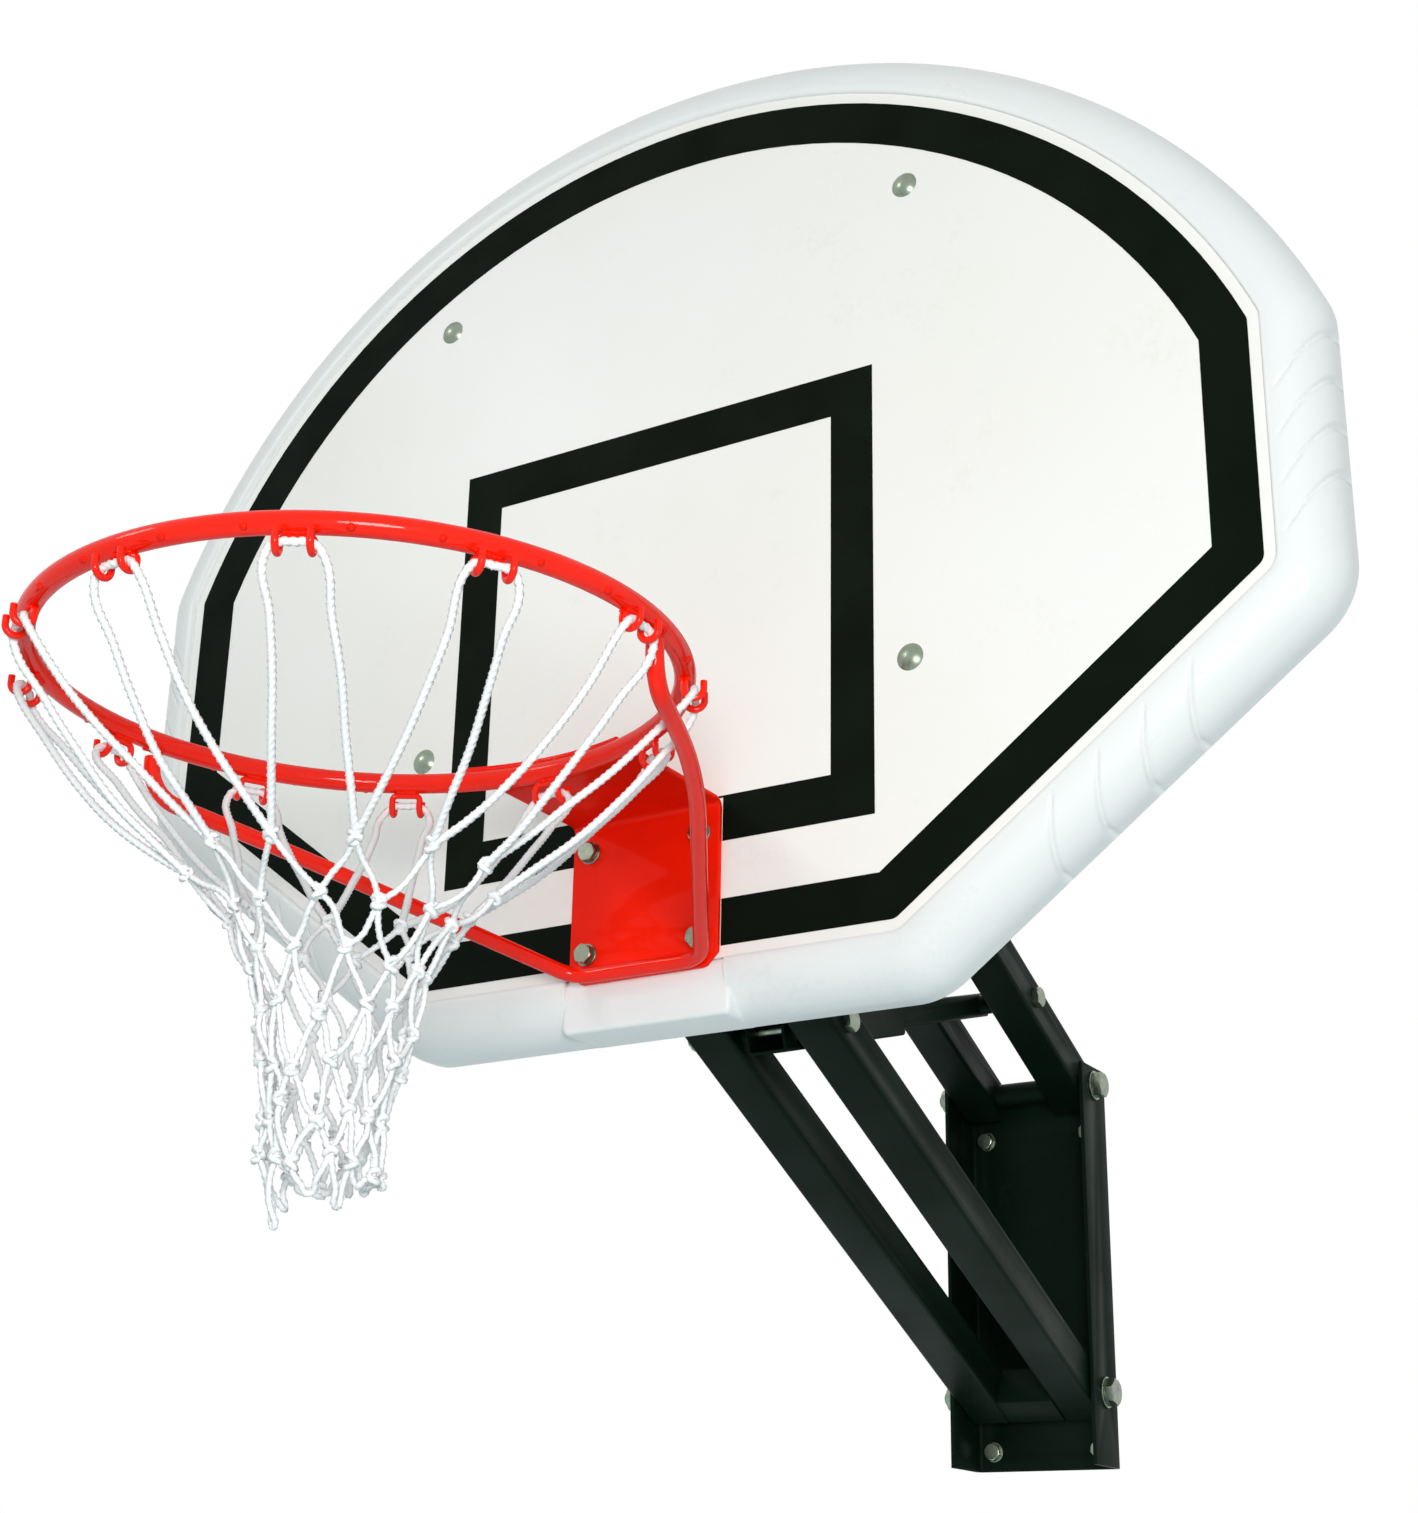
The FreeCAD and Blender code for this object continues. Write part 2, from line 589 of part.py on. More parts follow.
def goal_plate():
    """Bent plate: back plate on the board and a shelf over the ring."""
    front = -GOAL_PLATE_THICKNESS
    tip = RING_CENTRE.y + RING_RADIUS * math.cos(math.asin(GOAL_PLATE_WIDTH / 2 / RING_RADIUS))
    half = GOAL_PLATE_WIDTH / 2
    corners = [
        (0, GOAL_PLATE_BOTTOM), (0, GOAL_PLATE_TOP), (tip, GOAL_PLATE_TOP),
        (tip, SHELF_UNDERSIDE), (front, SHELF_UNDERSIDE), (front, GOAL_PLATE_BOTTOM),
    ]
    points = [Vector(-half, y, z) for y, z in corners]
    radii = [0, GOAL_BEND_RADIUS, 0, 0, GOAL_BEND_RADIUS - GOAL_PLATE_THICKNESS, 0]
    plate = Part.Face(closed_outline(points, radii)).extrude(Vector(GOAL_PLATE_WIDTH, 0, 0))
    hoop = Part.makeCylinder(RING_RADIUS, 2 * RING_RADIUS, RING_CENTRE - Z_AXIS * RING_RADIUS)
    plate = plate.cut(hoop)
    for side in (-1, 1):
        cut = [Vector(side * half, front, GOAL_PLATE_BOTTOM)] * 3
        cut[1] = cut[0] - X_AXIS * (side * GOAL_CORNER_CUT)
        cut[2] = cut[0] + Z_AXIS * GOAL_CORNER_CUT
        plate = plate.cut(Part.Face(Part.makePolygon(cut + cut[:1])).extrude(Y_AXIS * GOAL_PLATE_THICKNESS))
    return plate.cut(board_holes())


def hoop_ring():
    """Ring bent from round bar, welded under the shelf."""
    return Part.makeTorus(RING_RADIUS, RING_ROD_RADIUS, RING_CENTRE, Z_AXIS)


def hoop_brace():
    """Brace rod: along the foot of the goal plate, then out and up to both sides of the ring."""
    foot_y = -GOAL_PLATE_THICKNESS - BRACE_RADIUS
    foot_z = GOAL_PLATE_BOTTOM + BRACE_FOOT_ABOVE_BOTTOM
    foot = Vector(BRACE_FOOT_HALF_WIDTH, foot_y, foot_z)
    bend = Vector(*BRACE_BEND)
    turn = math.radians(BRACE_RING_ANGLE)
    end = RING_CENTRE + Vector(math.cos(turn), math.sin(turn), 0) * RING_RADIUS
    end = end - Z_AXIS * (RING_ROD_RADIUS + BRACE_RADIUS - BRACE_END_LIFT)
    right = [end, bend, foot]
    points = right + [Vector(-point.x, point.y, point.z) for point in reversed(right)]
    return bent_rod(points, [BRACE_BEND_RADIUS] * 4, BRACE_RADIUS)


def net_hook():
    """One wire hook at angle zero: two turned-up ends that hold a loop of the net."""
    top = -RING_ROD_RADIUS - HOOK_WIRE_RADIUS
    tip_x = RING_RADIUS + 2 * HOOK_TURN_RADIUS
    half = [
        Vector(tip_x, HOOK_HALF_SPAN, -HOOK_LIP_DROP),
        Vector(tip_x, HOOK_HALF_SPAN, -HOOK_DROP),
        Vector(RING_RADIUS, HOOK_HALF_SPAN, -HOOK_DROP),
        Vector(RING_RADIUS, HOOK_HALF_SPAN, top),
    ]
    points = half + [Vector(point.x, -point.y, point.z) for point in reversed(half)]
    radii = [HOOK_TURN_RADIUS, HOOK_TURN_RADIUS, HOOK_SHOULDER_RADIUS]
    return bent_rod(points, radii + radii[::-1], HOOK_WIRE_RADIUS)


def net_hooks():
    """All hooks, evenly round the ring."""
    hooks = []
    for index in range(HOOK_COUNT):
        hook = net_hook()
        hook.rotate(ORIGIN, Z_AXIS, index * 360 / HOOK_COUNT)
        hook.translate(RING_CENTRE)
        hooks.append(hook)
    return hooks


def net_graph():
    """Knots of the net as (angle, radius, depth) and the strands between them."""
    step = 2 * math.pi / HOOK_COUNT
    loop_radius = RING_RADIUS + HOOK_TURN_RADIUS
    loop_turn = NET_LOOP_HALF_WIDTH / loop_radius
    knots = []
    strands = []
    for index in range(HOOK_COUNT):
        knots.append((index * step - loop_turn, loop_radius, NET_LOOP_DROP))
        knots.append((index * step + loop_turn, loop_radius, NET_LOOP_DROP))
        strands.append((2 * index, 2 * index + 1))
    for row, (depth, radius) in enumerate(NET_ROWS):
        first = len(knots)
        shift = 0.5 if row % 2 == 0 else 0.0
        for index in range(HOOK_COUNT):
            knots.append(((index + shift) * step, radius, depth))
            if row == 0:
                strands.append((2 * index + 1, first + index))
                strands.append((2 * ((index + 1) % HOOK_COUNT), first + index))
            else:
                above = first - HOOK_COUNT
                neighbour = (index - 1) % HOOK_COUNT if shift == 0.0 else (index + 1) % HOOK_COUNT
                strands.append((above + index, first + index))
                strands.append((above + neighbour, first + index))
    return knots, strands


def knot_frame(knot, slope):
    """Position, sideways, downward and outward directions at a knot."""
    turn, radius, depth = knot
    out = Vector(math.cos(turn), math.sin(turn), 0)
    side = Vector(-math.sin(turn), math.cos(turn), 0)
    down = (out * slope[0] - Z_AXIS * slope[1]).normalize()
    return out * radius - Z_AXIS * depth, side, down, down.cross(side) * -1


def net():
    """Net of square cord: every strand is a strip with walls, joined at the knots in one closed skin."""
    knots, strands = net_graph()
    levels = [(NET_LOOP_DROP, RING_RADIUS + HOOK_TURN_RADIUS)] + list(NET_ROWS)
    frames = []
    for knot in knots:
        level = [depth for depth, _ in levels].index(knot[2])
        above = levels[max(level - 1, 0)]
        below = levels[min(level + 1, len(levels) - 1)]
        frames.append(knot_frame(knot, (below[1] - above[1], below[0] - above[0])))
    around = [[] for _ in knots]
    for start, end in strands:
        for own, other in ((start, end), (end, start)):
            position, side, down, _ = frames[own]
            toward = frames[other][0] - position
            around[own].append((math.atan2(toward.dot(down), toward.dot(side)), other))
    points = []
    corners = {}
    facets = []
    for own, spokes in enumerate(around):
        spokes.sort()
        position, side, down, outward = frames[own]
        ring = []
        for index, (turn, other) in enumerate(spokes):
            following = spokes[(index + 1) % len(spokes)]
            spread = (following[0] - turn) % (2 * math.pi)
            middle = turn + spread / 2
            reach = CORD_HALF_WIDTH / max(math.sin(spread / 2), 0.5 if spread > math.pi else 0.2)
            spot = position + side * (reach * math.cos(middle)) + down * (reach * math.sin(middle))
            corners[own, other, "after"] = len(points)
            corners[own, following[1], "before"] = len(points)
            ring.append(len(points))
            points.append(spot + outward * CORD_HALF_WIDTH)
            points.append(spot - outward * CORD_HALF_WIDTH)
        if len(ring) == 4:
            facets.extend(quad(ring[0], ring[1], ring[2], ring[3]))
            facets.extend(quad(ring[3] + 1, ring[2] + 1, ring[1] + 1, ring[0] + 1))
    for start, end in strands:
        near_before = corners[start, end, "before"]
        near_after = corners[start, end, "after"]
        far_before = corners[end, start, "before"]
        far_after = corners[end, start, "after"]
        facets.extend(quad(near_before, far_after, far_before, near_after))
        facets.extend(quad(near_after + 1, far_before + 1, far_after + 1, near_before + 1))
        facets.extend(quad(near_after, far_before, far_before + 1, near_after + 1))
        facets.extend(quad(far_after, near_before, near_before + 1, far_after + 1))
    shape = Part.Shape()
    shape.makeShapeFromMesh((points, facets), 1e-4)
    solid = Part.Solid(Part.Shell(shape.Faces))
    if solid.Volume < 0:
        solid.reverse()
    solid.translate(RING_CENTRE)
    return solid


def quad(first, second, third, fourth):
    """Two triangles of a four-sided patch."""
    return [(first, second, third), (first, third, fourth)]


def wall_bracket():
    """Wall channel with its pivot holes and wall bolt holes."""
    z_range = (WALL_PIVOTS[0].z - WALL_CHANNEL_BELOW, WALL_PIVOTS[1].z + WALL_CHANNEL_ABOVE)
    channel = folded_channel(WALL_CHANNEL_DEPTH, z_range, 0, -1)
    for pivot in WALL_PIVOTS:
        channel = channel.cut(cross_hole(PIVOT_BOLT_RADIUS + RUNNING_GAP, pivot))
    for point in wall_bolt_points():
        channel = channel.cut(rod(WALL_SHANK_RADIUS + BOLT_HOLE_GAP, point - Y_AXIS * SHEET, point))
    return channel


def wall_bolt_points():
    """Centres of the wall bolts on the wall face."""
    return [
        Vector(sx * WALL_BOLT_SPAN_X / 2, 0, sz * WALL_BOLT_SPAN_Z / 2)
        for sx in (-1, 1)
        for sz in (-1, 1)
    ]


def wall_bolts():
    """Bolts from the channel into the wall, with a thicker plain shank inside the channel's sheet."""
    seat = -SHEET - WASHER_THICKNESS
    bolts = []
    for point in wall_bolt_points():
        bolt = hex_bolt(WALL_SHANK_RADIUS, point + Y_AXIS * seat, point)
        stud = rod(WALL_BOLT_RADIUS, point, point + Y_AXIS * WALL_STUD_LENGTH)
        bolts.append(bolt.fuse(stud).removeSplitter())
    return bolts


def wall_washers():
    """Washers under the wall bolts' heads."""
    front = Y_AXIS * SHEET
    return [flat_washer(WALL_SHANK_RADIUS, point - front, Y_AXIS * -1) for point in wall_bolt_points()]


def pivot_bolts(pivots):
    """Bolts across a channel, through both arms, with their heads on the right."""
    tip = -CHANNEL_OUTER_X - WASHER_THICKNESS - nut_height(PIVOT_BOLT_RADIUS)
    seat = CHANNEL_OUTER_X + WASHER_THICKNESS
    return [hex_bolt(PIVOT_BOLT_RADIUS, at_x(seat, pivot), at_x(tip, pivot)) for pivot in pivots]


def pivot_nuts(pivots):
    """Nuts on the left of the pivot bolts."""
    seat = -CHANNEL_OUTER_X - WASHER_THICKNESS
    return [hex_nut(PIVOT_BOLT_RADIUS, at_x(seat, pivot), X_AXIS * -1) for pivot in pivots]


def pivot_washers(pivots):
    """Washers outside the channel, under the pivot bolts' heads and nuts."""
    return [
        flat_washer(PIVOT_BOLT_RADIUS, at_x(side * CHANNEL_OUTER_X, pivot), X_AXIS * side)
        for pivot in pivots
        for side in (-1, 1)
    ]


def thrust_washers(pivots):
    """Plastic washers between the arms and the channel's flanges."""
    return [
        sleeve(
            THRUST_WASHER_RADIUS,
            PIVOT_BOLT_RADIUS + RUNNING_GAP,
            at_x(side * ARM_OUTER_X, pivot),
            at_x(side * CHANNEL_INNER_X, pivot),
        )
        for pivot in pivots
        for side in (-1, 1)
    ]


def arm(side, wall_pivot, adjuster_distance):
    """Square-tube arm with a bush hole at each end and a hole for the adjuster's cross bolt."""
    y_range = (-ARM_LENGTH - ARM_OVERHANG, ARM_OVERHANG)
    tube = square_tube(ARM_WIDTH / 2, ARM_HEIGHT / 2, ARM_WALL, y_range, ARM_EDGE_RADIUS)
    holes = (
        (0, BUSH_RADIUS),
        (ARM_LENGTH, BUSH_RADIUS),
        (adjuster_distance, ADJUSTER_BOLT_RADIUS + BOLT_HOLE_GAP),
    )
    for distance, radius in holes:
        tube = tube.cut(cross_hole(radius, Vector(0, -distance, 0)))
    return turned(tube, -ARM_ANGLE, at_x(side * ARM_CENTRE_X, wall_pivot))


def arm_bushes(wall_pivot, board_pivot):
    """Bushes in the ends of a pair of arms."""
    inner = ARM_GAP / 2
    return [
        sleeve(
            BUSH_RADIUS,
            PIVOT_BOLT_RADIUS + RUNNING_GAP,
            at_x(side * inner, pivot),
            at_x(side * ARM_OUTER_X, pivot),
        )
        for pivot in (wall_pivot, board_pivot)
        for side in (-1, 1)
    ]


def arm_spacer(pivot):
    """Round spacer tube on a pivot bolt between two arms."""
    inner = PIVOT_BOLT_RADIUS + BOLT_HOLE_GAP
    return sleeve(inner + SPACER_WALL, inner, at_x(-ARM_GAP / 2, pivot), at_x(ARM_GAP / 2, pivot))


def lower_cross_tube():
    """Square tube welded between the lower arms, round the lower wall pivot."""
    half = ARM_HEIGHT / 2
    overhang = ARM_OVERHANG
    outer = box((-ARM_GAP / 2, ARM_GAP / 2), (-half, overhang), (-half, half))
    inner = box(
        (-ARM_GAP / 2, ARM_GAP / 2),
        (ARM_WALL - half, overhang - ARM_WALL),
        (ARM_WALL - half, half - ARM_WALL),
    )
    return turned(outer.cut(inner), -ARM_ANGLE, WALL_PIVOTS[0])


def adjuster_bolt(point):
    """Bolt across a pair of arms that carries one end of the adjuster."""
    tip = -ARM_OUTER_X - nut_height(ADJUSTER_BOLT_RADIUS)
    return hex_bolt(ADJUSTER_BOLT_RADIUS, at_x(ARM_OUTER_X, point), at_x(tip, point))


def adjuster_nut(point):
    """Nut on the left end of an adjuster bolt."""
    return hex_nut(ADJUSTER_BOLT_RADIUS, at_x(-ARM_OUTER_X, point), X_AXIS * -1)


def adjuster_spacers(point, half_width):
    """Spacers that keep the adjuster in the middle between two arms."""
    inner = ADJUSTER_BOLT_RADIUS + BOLT_HOLE_GAP
    return [
        sleeve(
            inner + SPACER_WALL,
            inner,
            at_x(side * (half_width + SIDE_GAP), point),
            at_x(side * ARM_GAP / 2, point),
        )
        for side in (-1, 1)
    ]


def adjuster_tube():
    """Outer square tube of the adjuster, on the lower arms, with a clamp boss on its left."""
    half = TUBE_SIZE / 2
    tube = square_tube(half, half, TUBE_WALL, (-TUBE_OVERHANG, TUBE_REACH), TUBE_EDGE_RADIUS)
    clamp_y = TUBE_REACH - CLAMP_FROM_END
    boss = rod(CLAMP_BOSS_RADIUS, Vector(-half, clamp_y, 0), Vector(-half - CLAMP_BOSS_HEIGHT, clamp_y, 0))
    tube = tube.fuse(boss)
    screw_hole = rod(CLAMP_SCREW_RADIUS + RUNNING_GAP, Vector(-half * 3, clamp_y, 0), Vector(0, clamp_y, 0))
    tube = tube.cut(screw_hole)
    tube = tube.cut(cross_hole(ADJUSTER_BOLT_RADIUS + RUNNING_GAP, ORIGIN))
    return turned(tube.removeSplitter(), ADJUSTER_ANGLE, ADJUSTER_FOOT)


def adjuster_bar():
    """Inner square tube of the adjuster, on the upper arms."""
    half = BAR_SIZE / 2
    bar = square_tube(half, half, BAR_WALL, (-BAR_REACH, BAR_OVERHANG), BAR_EDGE_RADIUS)
    bar = bar.cut(cross_hole(ADJUSTER_BOLT_RADIUS + RUNNING_GAP, ORIGIN))
    return turned(bar, ADJUSTER_ANGLE, ADJUSTER_HEAD)


def clamp_knob():
    """Clamp screw with its lobed knob."""
    clamp_y = TUBE_REACH - CLAMP_FROM_END
    tip = Vector(-BAR_SIZE / 2 - SIDE_GAP, clamp_y, 0)
    base = Vector(-TUBE_SIZE / 2 - CLAMP_BOSS_HEIGHT - KNOB_STANDOFF, clamp_y, 0)
    top = base - X_AXIS * KNOB_HEIGHT
    knob = rod(KNOB_RADIUS, base, top)
    for index in range(KNOB_LOBES):
        turn = 2 * math.pi * index / KNOB_LOBES
        shift = Vector(0, math.cos(turn), math.sin(turn)) * (KNOB_RADIUS + KNOB_LOBE_RADIUS / 2)
        knob = knob.cut(rod(KNOB_LOBE_RADIUS, base + shift, top + shift))
    knob = knob.fuse(rod(CLAMP_SCREW_RADIUS, tip, base)).removeSplitter()
    return turned(knob, ADJUSTER_ANGLE, ADJUSTER_FOOT)


def goal_bolts():
    """Bolts through the goal plate, the panel and the upright channel."""
    seat = -GOAL_PLATE_THICKNESS - WASHER_THICKNESS
    tip = PANEL_THICKNESS + SHEET + nut_height(GOAL_BOLT_RADIUS)
    return [hex_bolt(GOAL_BOLT_RADIUS, Vector(x, seat, z), Vector(x, tip, z)) for x, z in GOAL_BOLT_POINTS]


def export(name, solids, place=ORIGIN):
    """Write one node, made of one solid or of several separate ones."""
    pieces = solids if isinstance(solids, list) else [solids]
    for piece in pieces:
        piece.translate(place)
    shape = pieces[0] if len(pieces) == 1 else Part.makeCompound(pieces)
    shape.exportStep("parts/" + name + ".step")
    volumes = " ".join("%.0f" % solid.Volume for solid in shape.Solids[:3])
    print(name, "solids", len(shape.Solids), "valid", shape.isValid(), "volume", volumes)


def export_board():
    """Board, the frame behind it and the goal on it."""
    place = BOARD_ORIGIN
    rail_back = PANEL_THICKNESS + RAIL_DEPTH
    channel_inside = PANEL_THICKNESS + SHEET
    export("board_panel", board_panel(), place)
    export("board_frame", border_frame(), place)
    export("boundary_line", boundary_line(), place)
    export("target_square", target_square(), place)
    export("board_channel", board_channel(), place)
    for row_name, row in zip(("upper", "lower"), BOARD_BOLT_ROWS):
        for side_name, side in (("left", -1), ("right", 1)):
            export("%s_rail_%s" % (row_name, side_name), cross_rail(side, row), place)
    export("board_bolts", [mushroom_bolt(x, z) for x, z in BOARD_BOLT_POINTS], place)
    washers = [flat_washer(BOARD_BOLT_RADIUS, Vector(x, rail_back, z), Y_AXIS) for x, z in BOARD_BOLT_POINTS]
    export("board_bolt_washers", washers, place)
    nut_seat = rail_back + WASHER_THICKNESS
    nuts = [hex_nut(BOARD_BOLT_RADIUS, Vector(x, nut_seat, z), Y_AXIS) for x, z in BOARD_BOLT_POINTS]
    export("board_bolt_nuts", nuts, place)
    export("goal_plate", goal_plate(), place)
    export("hoop_ring", hoop_ring(), place)
    export("hoop_brace", hoop_brace(), place)
    export("net_hooks", net_hooks(), place)
    export("net", net(), place)
    export("goal_bolts", goal_bolts(), place)
    plate_front = -GOAL_PLATE_THICKNESS
    seats = [Vector(x, plate_front, z) for x, z in GOAL_BOLT_POINTS]
    washers = [flat_washer(GOAL_BOLT_RADIUS, seat, Y_AXIS * -1) for seat in seats]
    export("goal_washers", washers, place)
    nuts = [hex_nut(GOAL_BOLT_RADIUS, Vector(x, channel_inside, z), Y_AXIS) for x, z in GOAL_BOLT_POINTS]
    export("goal_nuts", nuts, place)
    export("board_pivot_bolts", pivot_bolts(BOARD_PIVOTS))
    export("board_pivot_nuts", pivot_nuts(BOARD_PIVOTS))
    export("board_pivot_washers", pivot_washers(BOARD_PIVOTS))
    export("board_thrust_washers", thrust_washers(BOARD_PIVOTS))


def export_bracket():
    """Wall channel, arms and adjuster."""
    export("wall_bracket", wall_bracket())
    export("wall_bolts", wall_bolts())
    export("wall_washers", wall_washers())
    export("wall_pivot_bolts", pivot_bolts(WALL_PIVOTS))
    export("wall_pivot_nuts", pivot_nuts(WALL_PIVOTS))
    export("wall_pivot_washers", pivot_washers(WALL_PIVOTS))
    export("wall_thrust_washers", thrust_washers(WALL_PIVOTS))
    levels = (
        ("lower", 0, ARM_LENGTH - ADJUSTER_FROM_PIVOT, ADJUSTER_FOOT, TUBE_SIZE),
        ("upper", 1, ADJUSTER_FROM_PIVOT, ADJUSTER_HEAD, BAR_SIZE),
    )
    for name, level, distance, point, width in levels:
        for side_name, side in (("left", -1), ("right", 1)):
            export("%s_arm_%s" % (name, side_name), arm(side, WALL_PIVOTS[level], distance))
        export("%s_arm_bushes" % name, arm_bushes(WALL_PIVOTS[level], BOARD_PIVOTS[level]))
        export("%s_adjuster_bolt" % name, adjuster_bolt(point))
        export("%s_adjuster_nut" % name, adjuster_nut(point))
        export("%s_adjuster_spacers" % name, adjuster_spacers(point, width / 2))
    export("lower_cross_tube", lower_cross_tube())
    export("lower_arm_spacer", arm_spacer(BOARD_PIVOTS[0]))
    export("upper_arm_spacers", [arm_spacer(WALL_PIVOTS[1]), arm_spacer(BOARD_PIVOTS[1])])
    export("adjuster_tube", adjuster_tube())
    export("adjuster_bar", adjuster_bar())
    export("clamp_knob", clamp_knob())


os.makedirs("parts", exist_ok=True)
export_board()
export_bracket()
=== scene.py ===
"""Dresses a packed basketball backboard with finished shapes, materials, light and a camera."""

import json
import math

import bmesh
import bpy
from mathutils import Matrix, Vector


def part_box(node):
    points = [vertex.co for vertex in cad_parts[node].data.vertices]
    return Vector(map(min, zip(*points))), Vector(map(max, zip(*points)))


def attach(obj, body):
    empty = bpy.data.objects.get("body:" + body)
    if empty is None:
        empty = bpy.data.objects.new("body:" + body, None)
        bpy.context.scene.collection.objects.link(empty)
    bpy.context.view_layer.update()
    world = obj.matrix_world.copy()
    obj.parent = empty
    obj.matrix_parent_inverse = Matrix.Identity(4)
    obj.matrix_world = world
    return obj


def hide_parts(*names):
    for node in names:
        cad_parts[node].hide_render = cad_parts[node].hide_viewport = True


bl_info = {
    "name": "Basketball backboard",
    "version": (1, 0, 0),
    "blender": (4, 5, 0),
    "location": "3D View > Sidebar > Backboard",
    "description": "Moulded board, ring, net and wall bracket on a packed frame",
    "category": "Object",
}

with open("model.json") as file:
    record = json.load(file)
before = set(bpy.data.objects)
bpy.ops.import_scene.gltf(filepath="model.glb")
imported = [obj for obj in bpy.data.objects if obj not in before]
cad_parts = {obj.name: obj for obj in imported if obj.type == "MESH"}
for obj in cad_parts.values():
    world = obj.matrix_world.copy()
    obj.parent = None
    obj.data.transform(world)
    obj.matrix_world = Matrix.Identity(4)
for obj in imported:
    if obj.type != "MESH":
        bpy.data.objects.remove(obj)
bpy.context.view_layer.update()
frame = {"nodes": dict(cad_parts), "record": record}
NODES = frame["nodes"]
BODY_OF = {node: body for body, nodes in frame["record"]["behaviour"]["bodies"].items() for node in nodes}

# Places read from the frame
TARGET_LOW, TARGET_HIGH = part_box("target_square")
RING_LOW, RING_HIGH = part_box("hoop_ring")
BOARD = Vector((0, TARGET_HIGH.y, (TARGET_LOW.z + TARGET_HIGH.z) / 2))
ROD_RADIUS = (RING_HIGH.z - RING_LOW.z) / 2
RING_RADIUS = (RING_HIGH.x - RING_LOW.x) / 2 - ROD_RADIUS
RING_CENTRE = (RING_LOW + RING_HIGH) / 2

# Board outline and border section, in metres from the middle of the target rectangle
LINE_HALF_WIDTH = 0.545
LINE_TOP = 0.515
LINE_SIDE_TOP = 0.150
LINE_SIDE_LOW = -0.059
LINE_BOTTOM = -0.295
LINE_BOTTOM_HALF_WIDTH = 0.232
CORE_OFFSET = -0.012
LIP_OFFSET = 0.010
LIP_HEIGHT = 0.003
LIP_COVER = 0.012
CREST_OFFSET = 0.016
CREST_HEIGHT = 0.004
BORDER_OFFSET = 0.057
BORDER_DEPTH = 0.050
BORDER_WALL = 0.004
SEAT_DEPTH = 0.014
LIP_EDGE = ((0.0, 0.0014), (0.0003, 0.0005), (0.0011, -0.0001), (0.0035, -0.0006))
BACK_EDGE = 0.0012
PAD_HALF_WIDTH = 0.078
PAD_TOP = LINE_BOTTOM - LIP_OFFSET
PAD_BOTTOM = LINE_BOTTOM - BORDER_OFFSET
PAD_CORNER = 0.006
PAD_INNER_CORNER = 0.003
PAD_CORNER_STEPS = 6
PAD_EDGE = ((0.004, 0.0), (0.0018, 0.0006), (0.0006, 0.0018), (0.0, 0.004))
PAD_POCKETS = 3
RIB_SINK = 0.0005
GROOVE_COUNT = 4
GROOVE_LEAN_SIDE = math.radians(54)
GROOVE_LEAN_DIAGONAL = math.radians(45)
GROOVE_PITCH_SIDE = 0.041
GROOVE_PITCH_DIAGONAL = 0.0485
GROOVE_SHIFT_SIDE = -0.050
GROOVE_SHIFT_DIAGONAL = 0.052
ROLL_RADIUS = BORDER_OFFSET - CREST_OFFSET
ROLL_STEPS = 40
GROOVE_FADE = 0.10
GROOVE_INNER_SHARE = 0.70
GROOVE_OUTER_GAIN = 0.75
INNER_STEPS = 6
FOOT_STEPS = 14
CORNER_STEPS = 20
ARCH_STEPS = 56
STATION_COARSE = 0.012
STATION_FINE = 0.0011

# Goal plate, brace rod and hooks
PLATE_HALF_WIDTH = 0.073
PLATE_BOTTOM = -0.312
PLATE_THICKNESS = 0.005
PLATE_BEND = 0.010
PLATE_CORNER_CUT = 0.012
PLATE_MIDDLE = -0.25
PLATE_COLUMNS = 40
PLATE_BEND_STEPS = 8
RING_STEPS = 160
RING_SIDES = 32
ROD_BEND_STEPS = 10
BRACE_RADIUS = 0.0065
BRACE_FOOT = Vector((0.062, -0.0115, -0.307))
BRACE_BEND = Vector((0.191, -0.229, -0.241))
BRACE_BEND_RADIUS = 0.028
BRACE_SWEEP_RADIUS = 0.500
BRACE_DROP = 0.031
BRACE_RING_ANGLE = math.radians(8)
BRACE_END_LIFT = 0.0008
BRACE_SIDES = 28
HOOK_COUNT = 12
HOOK_WIRE = 0.0025
HOOK_HALF_SPAN = 0.011
HOOK_TURN = 0.007
HOOK_DROP = 0.024
HOOK_LIP_DROP = 0.011
HOOK_BEND = 0.00699
HOOK_SHOULDER = 0.004
HOOK_SIDES = 14

# Welds, the shelf's two as rise, reach and share of the shelf's width
SHELF_WELDS = ((0.0004, -0.0012, 1.0), (-0.0008, 0.0046, 0.96))
SHELF_WELD_STEPS = 30
FOOT_WELD_START = 0.052
FOOT_WELD_LENGTH = 0.030
FOOT_WELD_RISE = 0.0055
BRACE_WELD_REACH = 0.0060
BRACE_WELD_WIDTH = 0.0068
BRACE_WELD_RISE = 0.0022
BRACE_WELD_SINK = 0.0005
BRACE_WELD_STEPS = 12
HOOK_WELD_DROP = 0.0004
HOOK_WELD_OFFSET = 0.0022
HOOK_WELD_SHARE = 0.7
HOOK_WELD_STEPS = 4
BEAD_SPACING_SHARE = 0.9
BEAD_PLAY = 0.16
BEAD_SIZE = (0.9, 1.0, 0.8)
SPOT_SPAN = 0.033
SPOT_TILT = math.radians(38)
SPOT_RADIUS = 0.0030
SPOT_HEIGHT_SHARE = 0.45
SPOT_PLAY = 0.2

